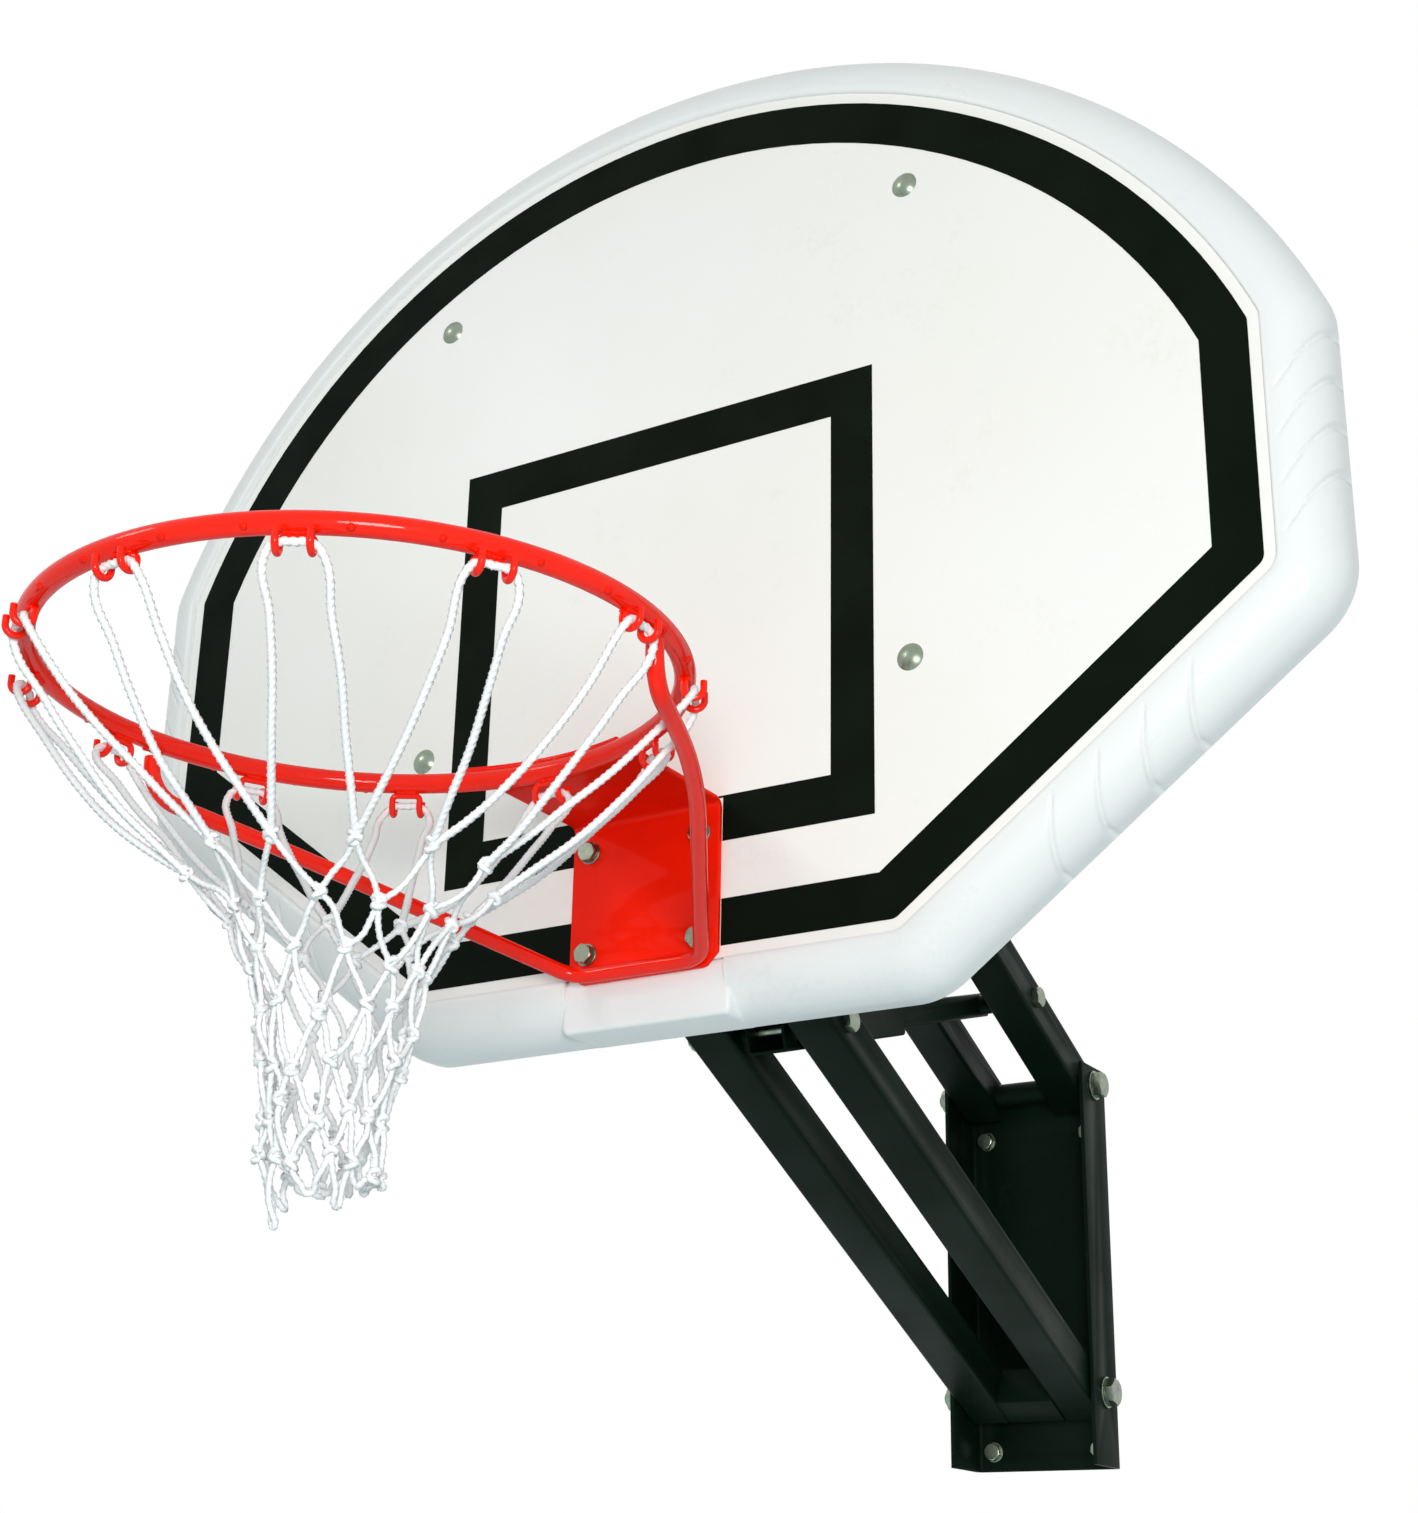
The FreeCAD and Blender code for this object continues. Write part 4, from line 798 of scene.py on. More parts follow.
def border_mesh():
    """Swept border with pressed grooves, open at the pad."""
    section = border_section()
    stations = border_stations()
    lines = groove_lines()
    points = []
    for core, normal in stations:
        for offset, depth, turn in section:
            flat = core + normal * (offset - CORE_OFFSET)
            if turn is not None:
                press = groove_pressed(flat, turn, lines)
                flat = flat - normal * (press * math.sin(turn))
                depth = depth + press * math.cos(turn)
            points.append(BOARD + Vector((flat.x, depth, flat.y)))
    faces = tube_faces(len(stations), len(section), False)
    mesh = mesh_from("moulded_border", points, faces)
    outward(mesh)
    return mesh


def upright(half, low, high):
    """Corners of an upright rectangle about the middle line."""
    return [(-half, low), (half, low), (half, high), (-half, high)]


def pad_mesh():
    """Flat pad, hollow from behind."""
    corners = upright(PAD_HALF_WIDTH + BORDER_WALL, PAD_BOTTOM, PAD_TOP)
    outer = rounded(corners, [PAD_CORNER] * 4, PAD_CORNER_STEPS)
    corners = upright(PAD_HALF_WIDTH, PAD_BOTTOM + BORDER_WALL, PAD_TOP - BORDER_WALL)
    inner = rounded(corners, [PAD_INNER_CORNER] * 4, PAD_CORNER_STEPS)
    middle = (PAD_BOTTOM + PAD_TOP) / 2
    points = []
    for shrink, depth in (*PAD_EDGE, (0.0, BORDER_DEPTH)):
        for point in outer:
            flat = point - Vector((math.copysign(shrink, point.x), math.copysign(shrink, point.y - middle)))
            points.append(BOARD + Vector((flat.x, depth, flat.y)))
    for depth in (BORDER_DEPTH, BORDER_WALL):
        points += [BOARD + Vector((point.x, depth, point.y)) for point in inner]
    mesh = mesh_from("pad", points, tube_faces(len(points) // len(outer), len(outer), False))
    outward(mesh)
    return mesh


def rib_meshes():
    """Ribs between the pockets behind the pad."""
    half = PAD_HALF_WIDTH + BORDER_WALL
    pitch = (2 * half - BORDER_WALL) / PAD_POCKETS
    meshes = []
    for index in range(1, PAD_POCKETS):
        left = index * pitch - half
        low = BOARD + Vector((left, BORDER_WALL - RIB_SINK, PAD_BOTTOM + BORDER_WALL - RIB_SINK))
        high = BOARD + Vector((left + BORDER_WALL, BORDER_DEPTH, PAD_TOP - BORDER_WALL + RIB_SINK))
        floor = ((low.x, low.y), (high.x, low.y), (high.x, high.y), (low.x, high.y))
        points = [(x, y, z) for z in (low.z, high.z) for x, y in floor]
        mesh = mesh_from("rib", points, tube_faces(2, 4, False))
        outward(mesh)
        meshes.append(mesh)
    return meshes


def joined(name, meshes):
    """One mesh from several."""
    work = bmesh.new()
    for mesh in meshes:
        work.from_mesh(mesh)
        bpy.data.meshes.remove(mesh)
    result = bpy.data.meshes.new(name)
    work.to_mesh(result)
    work.free()
    return result


# Goal plate, ring and brace
def plate_profile(bottom, tip, shelf_top):
    """Side view of the bent plate as depth and height, once round."""
    turns = [math.pi / 2 * step / PLATE_BEND_STEPS for step in range(PLATE_BEND_STEPS + 1)]
    low = shelf_top - PLATE_BEND
    inner = PLATE_BEND - PLATE_THICKNESS
    profile = [(0.0, bottom), (0.0, PLATE_MIDDLE)]
    for turn in turns:
        profile.append((-PLATE_BEND + PLATE_BEND * math.cos(turn), low + PLATE_BEND * math.sin(turn)))
    profile += [(tip, shelf_top), (tip, shelf_top - PLATE_THICKNESS)]
    for turn in reversed(turns):
        profile.append((-PLATE_BEND + inner * math.cos(turn), low + inner * math.sin(turn)))
    return profile + [(-PLATE_THICKNESS, PLATE_MIDDLE), (-PLATE_THICKNESS, bottom)]


def plate_mesh():
    """Bent plate whose shelf is cut to the ring, with its lower corners cut off."""
    shelf_top = RING_CENTRE.z - BOARD.z + ROD_RADIUS + PLATE_THICKNESS
    ring_y = RING_CENTRE.y - BOARD.y
    points = []
    for column in range(PLATE_COLUMNS + 1):
        x = PLATE_HALF_WIDTH * (2 * column / PLATE_COLUMNS - 1)
        bottom = PLATE_BOTTOM + max(0.0, abs(x) - (PLATE_HALF_WIDTH - PLATE_CORNER_CUT))
        profile = plate_profile(bottom, ring_y + math.sqrt(RING_RADIUS ** 2 - x ** 2), shelf_top)
        points += [BOARD + Vector((x, y, z)) for y, z in profile]
    faces = tube_faces(PLATE_COLUMNS + 1, len(points) // (PLATE_COLUMNS + 1), False)
    mesh = mesh_from("goal_plate_bent", points, faces)
    outward(mesh)
    return mesh


def ray_at(turn):
    """Level direction at a turn round the ring."""
    return Vector((math.cos(turn), math.sin(turn), 0))


def hook_turn(index):
    """Turn of a hook round the ring."""
    return 2 * math.pi * index / HOOK_COUNT


def circle_path(centre, radius, first, last, steps):
    """Points of a level arc."""
    turns = [first + (last - first) * step / steps for step in range(steps + 1)]
    return [centre + Vector((radius * math.cos(turn), radius * math.sin(turn), 0)) for turn in turns]


def ring_mesh():
    """Round bar bent into the ring."""
    line = circle_path(Vector((0, 0, 0)), RING_RADIUS, 0, 2 * math.pi, RING_STEPS)[:-1]
    points = []
    for point in line:
        ray = point.normalized()
        for step in range(RING_SIDES):
            turn = 2 * math.pi * step / RING_SIDES
            rise = Vector((0, 0, ROD_RADIUS * math.sin(turn)))
            points.append(RING_CENTRE + (point + ray * (ROD_RADIUS * math.cos(turn)) + rise))
    mesh = mesh_from("ring_bar", points, tube_faces(len(line), RING_SIDES, True))
    outward(mesh)
    smooth(mesh, 60)
    return mesh


def mirrored(half, flip):
    """Line of points and bends from its first half and its other half flipped."""
    return half + [(point * flip, bend) for point, bend in reversed(half)]


def brace_line():
    """Brace rod from under the ring down to the plate's foot and back up on the other side."""
    end = RING_CENTRE + ray_at(BRACE_RING_ANGLE) * RING_RADIUS
    end = end - Vector((0, 0, ROD_RADIUS + BRACE_RADIUS - BRACE_END_LIFT))
    half = [
        (end, 0.0), (end - Vector((0, 0, BRACE_DROP)), BRACE_BEND_RADIUS),
        (BOARD + BRACE_BEND, BRACE_SWEEP_RADIUS), (BOARD + BRACE_FOOT, BRACE_BEND_RADIUS),
    ]
    return mirrored(half, Vector((-1, 1, 1)))


def hook_line():
    """Double wire hook at the ring's first place, from one tip to the other."""
    tip = RING_RADIUS + 2 * HOOK_TURN
    half = [
        (Vector((reach, HOOK_HALF_SPAN, level)), bend)
        for reach, level, bend in (
            (tip, -HOOK_LIP_DROP, 0.0), (tip, -HOOK_DROP, HOOK_BEND), (RING_RADIUS, -HOOK_DROP, HOOK_BEND),
            (RING_RADIUS, -ROD_RADIUS - HOOK_WIRE, HOOK_SHOULDER),
        )
    ]
    return mirrored(half, Vector((1, -1, 1)))


# Trees of geometry nodes
def geometry_tree(name, inputs):
    """Empty geometry tree with named inputs, what it is given and what it puts out."""
    tree = bpy.data.node_groups.new(name, "GeometryNodeTree")
    tree.interface.new_socket(name="Geometry", in_out="INPUT", socket_type="NodeSocketGeometry")
    for label, kind in inputs.items():
        tree.interface.new_socket(name=label, in_out="INPUT", socket_type="NodeSocket" + kind)
    tree.interface.new_socket(name="Geometry", in_out="OUTPUT", socket_type="NodeSocketGeometry")
    return tree, tree.nodes.new("NodeGroupInput").outputs, tree.nodes.new("NodeGroupOutput").inputs


def end_tree(tree, given, result, geometry, soft):
    """Close a tree: instances made real, smooth faces where asked, and the finish."""
    geometry = add_node(tree, "GeometryNodeRealizeInstances", "Geometry", {"Geometry": geometry})
    if soft:
        geometry = add_node(tree, "GeometryNodeSetShadeSmooth", "Geometry", {"Geometry": geometry})
    inputs = {"Geometry": geometry, "Material": given["Finish"]}
    tree.links.new(add_node(tree, "GeometryNodeSetMaterial", "Geometry", inputs), result["Geometry"])
    return tree


def attribute(tree, name, kind="FLOAT"):
    """Value that each point carries."""
    return add_node(tree, "GeometryNodeInputNamedAttribute", "Attribute", {"Name": name}, data_type=kind)


def rotation(tree, angles):
    """Rotation from three angles."""
    return add_node(tree, "FunctionNodeEulerToRotation", "Rotation", {"Euler": angles})


def round_profile(tree, sides, radius):
    """Circle that a rod or a cord is drawn out of."""
    inputs = {"Resolution": sides, "Radius": radius}
    return add_node(tree, "GeometryNodeCurvePrimitiveCircle", "Curve", inputs)


def rod_tree(name):
    """Bent rods along lines of points, repeated round a centre."""
    tree, given, result = geometry_tree(name, {
        "Rod radius": "Float", "Sides": "Int", "Repeats": "Int", "Centre": "Vector", "Finish": "Material",
    })
    path = add_node(tree, "GeometryNodeMeshToCurve", "Curve", {"Mesh": given["Geometry"]})
    bends = {"Curve": path, "Count": ROD_BEND_STEPS, "Radius": attribute(tree, "bend"), "Limit Radius": True}
    bent = add_node(tree, "GeometryNodeFilletCurve", "Curve", bends, mode="POLY")
    profile = round_profile(tree, given["Sides"], given["Rod radius"])
    sweep = {"Curve": bent, "Profile Curve": profile, "Fill Caps": True}
    rod = add_node(tree, "GeometryNodeCurveToMesh", "Mesh", sweep)
    places = {"Count": given["Repeats"], "Position": given["Centre"]}
    spots = add_node(tree, "GeometryNodePoints", "Points", places)
    index = add_node(tree, "GeometryNodeInputIndex", "Index")
    turn = maths(tree, "MULTIPLY", index, maths(tree, "DIVIDE", 2 * math.pi, given["Repeats"]))
    spin = add_node(tree, "ShaderNodeCombineXYZ", "Vector", {"Z": turn})
    copies = add_node(tree, "GeometryNodeInstanceOnPoints", "Instances", {
        "Points": spots, "Instance": rod, "Rotation": rotation(tree, spin),
    })
    return end_tree(tree, given, result, copies, True)


def cord_tree(name):
    """Twisted three-strand cords along lines of points, each point with its share of the thickness."""
    tree, given, result = geometry_tree(name, {
        "Cord radius": "Float", "Twist per metre": "Float", "Step": "Float", "Finish": "Material",
    })
    path = add_node(tree, "GeometryNodeMeshToCurve", "Curve", {"Mesh": given["Geometry"]})
    path = add_node(tree, "GeometryNodeCurveSplineType", "Curve", {"Curve": path}, spline_type="BEZIER")
    path = add_node(
        tree, "GeometryNodeCurveSetHandles", "Curve", {"Curve": path},
        handle_type="AUTO", mode={"LEFT", "RIGHT"},
    )
    even = {"Curve": path, "Length": given["Step"]}
    path = add_node(tree, "GeometryNodeResampleCurve", "Curve", even, mode="LENGTH")
    along = add_node(tree, "GeometryNodeSplineParameter", "Length")
    twist = maths(tree, "MULTIPLY", along, given["Twist per metre"])
    path = add_node(tree, "GeometryNodeSetCurveTilt", "Curve", {"Curve": path, "Tilt": twist})
    index = add_node(tree, "GeometryNodeInputIndex", "Index")
    wave = maths(tree, "COSINE", maths(tree, "MULTIPLY", index, 2 * math.pi * CORD_STRANDS / CORD_SIDES))
    lobe = maths(tree, "MULTIPLY_ADD", wave, CORD_LOBE, 1 - CORD_LOBE / 2)
    place = add_node(tree, "GeometryNodeInputPosition", "Position")
    moved = add_node(tree, "ShaderNodeVectorMath", "Vector", {0: place, "Scale": lobe}, operation="SCALE")
    circle = round_profile(tree, CORD_SIDES, given["Cord radius"])
    profile = add_node(tree, "GeometryNodeSetPosition", "Geometry", {"Geometry": circle, "Position": moved})
    cord = add_node(tree, "GeometryNodeCurveToMesh", "Mesh", {
        "Curve": path, "Profile Curve": profile, "Scale": attribute(tree, "share"), "Fill Caps": True,
    })
    return end_tree(tree, given, result, cord, True)


def row_tree(name):
    """One shape repeated on points, each with its own turn and size."""
    tree, given, result = geometry_tree(name, {"Shape": "Object", "Finish": "Material"})
    copies = add_node(tree, "GeometryNodeInstanceOnPoints", "Instances", {
        "Points": given["Geometry"],
        "Instance": add_node(tree, "GeometryNodeObjectInfo", "Geometry", {"Object": given["Shape"]}),
        "Rotation": rotation(tree, attribute(tree, "turn", "FLOAT_VECTOR")),
        "Scale": attribute(tree, "size", "FLOAT_VECTOR"),
    })
    return end_tree(tree, given, result, copies, False)


def grown(name, mesh, tree_name, values):
    """Piece grown from a mesh by a tree, which is built when first asked for, as a plain mesh."""
    builders = {"Bent rods": rod_tree, "Twisted cords": cord_tree, "Repeated shape": row_tree}
    tree = bpy.data.node_groups.get(tree_name) or builders[tree_name](tree_name)
    piece = bpy.data.objects.new(name, mesh)
    bpy.context.scene.collection.objects.link(piece)
    modifier = piece.modifiers.new(tree.name, "NODES")
    modifier.node_group = tree
    for item in tree.interface.items_tree:
        if item.item_type == "SOCKET" and item.in_out == "INPUT" and item.name in values:
            modifier[item.identifier] = values[item.name]
    return baked(piece)


def rod(name, line, radius, sides, repeats=1, centre=(0, 0, 0)):
    """Bent rod through points that each carry a bend radius, repeated round a centre."""
    edges = [(index, index + 1) for index in range(len(line) - 1)]
    mesh = mesh_from(name, [point for point, _ in line], [], edges)
    bends = [bend for _, bend in line]
    mesh.attributes.new("bend", "FLOAT", "POINT").data.foreach_set("value", bends)
    piece = grown(name, mesh, "Bent rods", {
        "Rod radius": radius, "Sides": sides, "Repeats": repeats, "Centre": tuple(centre),
        "Finish": finish("bar_gloss"),
    })
    smooth(piece.data, 50)
    return piece


def repeated(name, shape_mesh, places, material):
    """Piece made of one shape repeated at places of (point, turn matrix, size)."""
    shape = bpy.data.objects.new(name + "_shape", shape_mesh)
    mesh = mesh_from(name, [place[0] for place in places], [])
    turns = [part for place in places for part in place[1].to_euler()]
    spans = [part for place in places for part in place[2]]
    mesh.attributes.new("turn", "FLOAT_VECTOR", "POINT").data.foreach_set("vector", turns)
    mesh.attributes.new("size", "FLOAT_VECTOR", "POINT").data.foreach_set("vector", spans)
    piece = grown(name, mesh, "Repeated shape", {"Shape": shape, "Finish": material})
    bpy.data.objects.remove(shape)
    bpy.data.meshes.remove(shape_mesh)
    return piece


# Fasteners
def lathe(name, rings, segments, cap_angle=30):
    """Closed solid of revolution about Z from (radius at a turn, height at a turn) rings."""
    points = []
    for radius, height in rings:
        for step in range(segments):
            turn = 2 * math.pi * step / segments
            reach = radius(turn) if callable(radius) else radius
            level = height(turn) if callable(height) else height
            points.append((reach * math.cos(turn), reach * math.sin(turn), level))
    mesh = mesh_from(name, points, tube_faces(len(rings), segments, False))
    outward(mesh)
    smooth(mesh, cap_angle)
    return mesh


def hex_reach(radius):
    """Distance to a hexagon's side at a turn, for corners at the radius, a little rounded."""
    flat = radius * math.cos(math.pi / 6)

    def reach(turn):
        part = (turn + math.pi / 6) % (math.pi / 3) - math.pi / 6
        return min(flat / math.cos(part), radius * HEX_CORNER_SHARE)

    return reach


def hex_rings(radius, low, high, both):
    """Rings of a hexagon with its corners chamfered at the top, and at the bottom where asked."""
    corner = hex_reach(radius)
    face = radius * math.cos(math.pi / 6) * HEAD_FACE_SHARE
    slope = math.tan(math.radians(30))

    def shifted(turn):
        return corner(turn + math.pi / 6)

    def drop(turn):
        return max(0.0, shifted(turn) - face) * slope

    rings = []
    if both:
        rings += [(face, low), (shifted, lambda turn: low + drop(turn))]
    else:
        step = low + radius * HEAD_STEP_SHARE
        foot = face * HEAD_FOOT_SHARE
        rings += [(foot, low), (foot, step), (shifted, step)]
    rings += [(shifted, lambda turn: high - drop(turn)), (face, high)]
    return rings


def thread_rings(radius, start, end):
    """Rings of a thread's ridges from one height to another, ending in a chamfer."""
    count = max(1, int(abs(end - start) / THREAD_PITCH) - 1)
    pitch = math.copysign(THREAD_PITCH, end - start)
    rings = []
    for step in range(count):
        level = start + pitch * step
        rings += [(radius, level), (radius * THREAD_ROOT_SHARE, level + pitch / 2)]
    return rings + [(radius, start + pitch * count), (radius * THREAD_TIP_SHARE, end)]


def bolt_mesh(head_radius, length):
    """Hexagon bolt along Z with its seat at zero and its shank below."""
    radius = head_radius / HEAD_FACTOR
    height = radius * HEAD_HEIGHT_FACTOR
    tip = height - length
    thread = min(BOLT_THREAD, -tip * BOLT_THREAD_SHARE)
    shank = thread_rings(radius * SHANK_FIT, tip + thread, tip)
    rings = [(radius * TIP_SHARE, height), *reversed(hex_rings(head_radius, 0.0, height, False))]
    rings += [(radius * SHANK_FIT, 0.0), *shank, (radius * TIP_SHARE, tip)]
    return lathe("bolt", rings, HEX_SEGMENTS)


def nut_mesh(head_radius, height):
    """Hexagon nut along Z on a seat at zero."""
    bore = head_radius / HEAD_FACTOR * BORE_FIT
    flare = bore * BORE_FLARE
    rings = hex_rings(head_radius, 0.0, height, True)
    depth = bore * BORE_FLARE_DEPTH
    rings += [(flare, height), (bore, height - depth), (bore, depth), (flare, 0.0), rings[0]]
    return without_caps(lathe("nut", rings, HEX_SEGMENTS))


def washer_mesh(radius, height):
    """Flat washer along Z with its edges broken, on a seat at zero."""
    bore = radius / WASHER_FACTOR * BORE_FIT
    edge = height * WASHER_EDGE_SHARE
    rings = [
        (bore, edge), (bore, height - edge), (bore + edge, height), (radius - edge, height),
        (radius, height - edge), (radius, edge), (radius - edge, 0.0), (bore + edge, 0.0), (bore, edge),
    ]
    return without_caps(lathe("washer", rings, HEX_SEGMENTS))


def mushroom_mesh(radius, length):
    """Round-head bolt along Z with its seat at zero."""
    shank = radius / MUSHROOM_FACTOR
    dome = (radius ** 2 + MUSHROOM_HEIGHT ** 2) / (2 * MUSHROOM_HEIGHT)
    rings = []
    for step in range(1, MUSHROOM_STEPS + 1):
        reach = radius * step / MUSHROOM_STEPS
        rings.append((reach, MUSHROOM_HEIGHT - dome + math.sqrt(dome ** 2 - reach ** 2)))
    tip = MUSHROOM_HEIGHT - length
    rings += [(radius * MUSHROOM_SEAT_SHARE, 0.0), (shank * SHANK_FIT, 0.0)]
    rings += [*thread_rings(shank * SHANK_FIT, tip + MUSHROOM_THREAD, tip), (shank * TIP_SHARE, tip)]
    return lathe("mushroom", rings, MUSHROOM_SEGMENTS, 40)


def without_caps(mesh):
    """Mesh of a ring-shaped solid with the two caps of its seam taken out."""
    work = bmesh.new()
    work.from_mesh(mesh)
    caps = [face for face in work.faces if len(face.verts) > 8]
    bmesh.ops.delete(work, geom=caps, context="FACES_ONLY")
    bmesh.ops.recalc_face_normals(work, faces=work.faces)
    work.to_mesh(mesh)
    work.free()
    return mesh


def fastener_piece(node, kind, axis):
    """All the fasteners of a node, each turned a little differently about its axis."""
    boxes = solid_boxes(node)
    low, high = boxes[0]
    span = high - low
    lead = max(range(3), key=lambda part: abs(axis[part]))
    length = span[lead]
    reach = max(span[part] for part in range(3) if part != lead) / 2
    makers = {"bolt": bolt_mesh, "nut": nut_mesh, "washer": washer_mesh, "mushroom": mushroom_mesh}
    mesh = makers[kind](reach, length)
    heads = {"bolt": reach / HEAD_FACTOR * HEAD_HEIGHT_FACTOR, "mushroom": MUSHROOM_HEIGHT}
    head = heads.get(kind, length)
    places = []
    for index, (low, high) in enumerate(boxes):
        middle = (low + high) / 2
        top = high[lead] if axis[lead] > 0 else low[lead]
        seat = middle.copy()
        seat[lead] = top - math.copysign(head, axis[lead])
        spin = Matrix.Rotation(index * SPIN_STEP + len(node) * SPIN_SHIFT, 3, "Z")
        turn = axis.to_track_quat("Z", "Y").to_matrix() @ spin
        places.append((seat, turn, (1, 1, 1)))
    piece = repeated(node + "_detailed", mesh, places, finish("zinc_plate"))
    return mounted(piece, BODY_OF[node], "zinc", node)


# Net
def wobble(seed):
    """Fixed pseudo-random number between minus one and one."""
    value = math.sin(seed * 12.9898 + 4.1414) * 43758.5453
    return 2 * (value - math.floor(value)) - 1


def net_knots():
    """Knot points of the net's rows, looser towards the bottom, with their outward directions."""
    step = 2 * math.pi / HOOK_COUNT
    last = len(NET_ROWS) - 1
    rows = []
    for row, (depth, radius) in enumerate(NET_ROWS):
        shift = 0.5 if row % 2 == 0 else 0.0
        loose = NET_TOP_PLAY_SHARE + (1 - NET_TOP_PLAY_SHARE) * row / last
        knots = []
        for index in range(HOOK_COUNT):
            seed = row * 40 + index
            ray = ray_at((index + shift + NET_TURN_PLAY * loose * wobble(seed)) * step)
            reach = radius * (1 + NET_RADIUS_PLAY * loose * wobble(seed + 0.31))
            fall = depth + NET_DEPTH_PLAY * loose * wobble(seed + 0.67)
            if row == last:
                fall += NET_END_SPREAD * wobble(index // 3 + 0.43)
            knots.append((RING_CENTRE + ray * reach - Vector((0, 0, fall)), ray))
        rows.append(knots)
    return rows


def sagging(start, end, seed, count, sway, slack):
    """Points of a strand between two ends, bowed to one side, a little uneven and hanging through."""
    along = end - start
    across = along.cross(Vector((0, 0, 1))).normalized()
    other = along.cross(across).normalized()
    lean = across * wobble(seed) + other * wobble(seed + 0.5)
    hang = Vector((0, 0, -slack * (1 - STRAND_PLAY + STRAND_PLAY * wobble(seed + 0.8))))
    points = []
    for step in range(1, count + 1):
        share = step / (count + 1)
        bow = math.sin(math.pi * share) * along.length
        kink = across * (STRAND_PLAY * wobble(seed + share))
        kink += other * (STRAND_PLAY * wobble(seed + share + 0.25))
        points.append(start.lerp(end, share) + ((lean + kink) * sway + hang) * bow)
    return points


def hung_lines(rows):
    """Cords from the first row of knots up over each hook and down again."""
    low = Vector((0, 0, NET_LOOP_FALL))
    lines = []
    for index in range(HOOK_COUNT):
        ray = ray_at(hook_turn(index))
        side = Vector((-ray.y, ray.x, 0))
        seat = RING_CENTRE + ray * (RING_RADIUS + HOOK_TURN) - Vector((0, 0, NET_LOOP_DROP))
        rest = side * NET_SEAT_HALF_WIDTH
        left = rows[0][index - 1][0]
        right = rows[0][index][0]
        near_left = seat - side * NET_LOOP_HALF_WIDTH
        near_right = seat + side * NET_LOOP_HALF_WIDTH
        line = [left, *sagging(left, near_left - low, index * 3.1, **HUNG_STRAND)]
        shoulder = low * LOOP_SHOULDER_SHARE
        line += [near_left - shoulder, seat - rest, seat, seat + rest, near_right - shoulder]
        line += [*sagging(near_right - low, right, index * 3.1 + 1.7, **HUNG_STRAND), right]
        lines.append(line)
    return lines


def mesh_lines(rows):
    """Cords between the rows of knots, ending in hanging loops at the bottom."""
    lines = []
    for row in range(1, len(rows)):
        for index in range(HOOK_COUNT):
            end = rows[row][index][0]
            neighbour = (index - 1) % HOOK_COUNT if row % 2 else (index + 1) % HOOK_COUNT
            first = rows[row - 1][index][0]
            second = rows[row - 1][neighbour][0]
            seed = row * 17 + index
            down = [first, *sagging(first, end, seed, **MESH_STRAND)]
            back = [*sagging(end, second, seed + 0.4, **MESH_STRAND), second]
            if row == len(rows) - 1:
                across = (second - first) * NET_END_LOOP_SHARE
                lines.append(down + [end - across, end + across] + back)
            else:
                lines.append(down + [end])
                lines.append([end] + back)
    return lines


def knot_turns(rows):
    """Closed turns of cord round each knot, apart from the bottom loops."""
    turns = []
    for row, knots in enumerate(rows[:-1]):
        for index, (point, ray) in enumerate(knots):
            side = Vector((-ray.y, ray.x, 0))
            for half in (-1, 1):
                ring = []
                for part in range(KNOT_POINTS):
                    angle = 2 * math.pi / KNOT_POINTS * part
                    level = half * KNOT_RISE + KNOT_TILT * half * math.sin(angle + row + index)
                    spot = point + side * (KNOT_HALF_WIDTH * math.cos(angle))
                    spot += ray * (KNOT_HALF_DEPTH * math.sin(angle))
                    ring.append(spot + Vector((0, 0, level)))
                turns.append(ring)
    return turns


def net_piece():
    """Net of twisted cord, hung on the hooks."""
    rows = net_knots()
    points = []
    edges = []
    shares = []
    for lines, share, closed in (
        (hung_lines(rows), 1.0, False), (mesh_lines(rows), NET_MESH_SHARE, False),
        (knot_turns(rows), NET_MESH_SHARE, True),
    ):
        for line in lines:
            first = len(points)
            points += line
            shares += [share] * len(line)
            edges += [(index, index + 1) for index in range(first, len(points) - 1)]
            if closed:
                edges.append((len(points) - 1, first))
    mesh = mesh_from("twisted_net", points, [], edges)
    mesh.attributes.new("share", "FLOAT", "POINT").data.foreach_set("value", shares)
    values = {
        "Cord radius": sizes().cord_radius,
        "Twist per metre": 2 * math.pi / sizes().cord_pitch,
        "Step": CORD_STEP,
        "Finish": finish("net_cord"),
    }
    return grown("twisted_net", mesh, "Twisted cords", values)


# Welds
def bead_places(path, radius, seed):
    """Places of the overlapping ripples of a weld along a path."""
    places = []
    travelled = 0.0
    for first, last in zip(path, path[1:]):
        along = last - first
        steps = max(1, round(along.length / (radius * BEAD_SPACING_SHARE)))
        for step in range(steps):
            number = seed + travelled + step * 0.37
            size = radius * (1 + BEAD_PLAY * wobble(number))
            turn = along.to_track_quat("X", "Z").to_matrix()
            spans = tuple(size * share for share in BEAD_SIZE)
            places.append((first.lerp(last, step / steps), turn, spans))
        travelled += along.length * 100 + 0.61
    return places


def bead_shape():
    """Small ball that weld ripples are made of."""
    work = bmesh.new()
    bmesh.ops.create_uvsphere(work, u_segments=8, v_segments=4, radius=1.0)
    mesh = bpy.data.meshes.new("bead")
    work.to_mesh(mesh)
    work.free()
    smooth(mesh, 180)
    return mesh


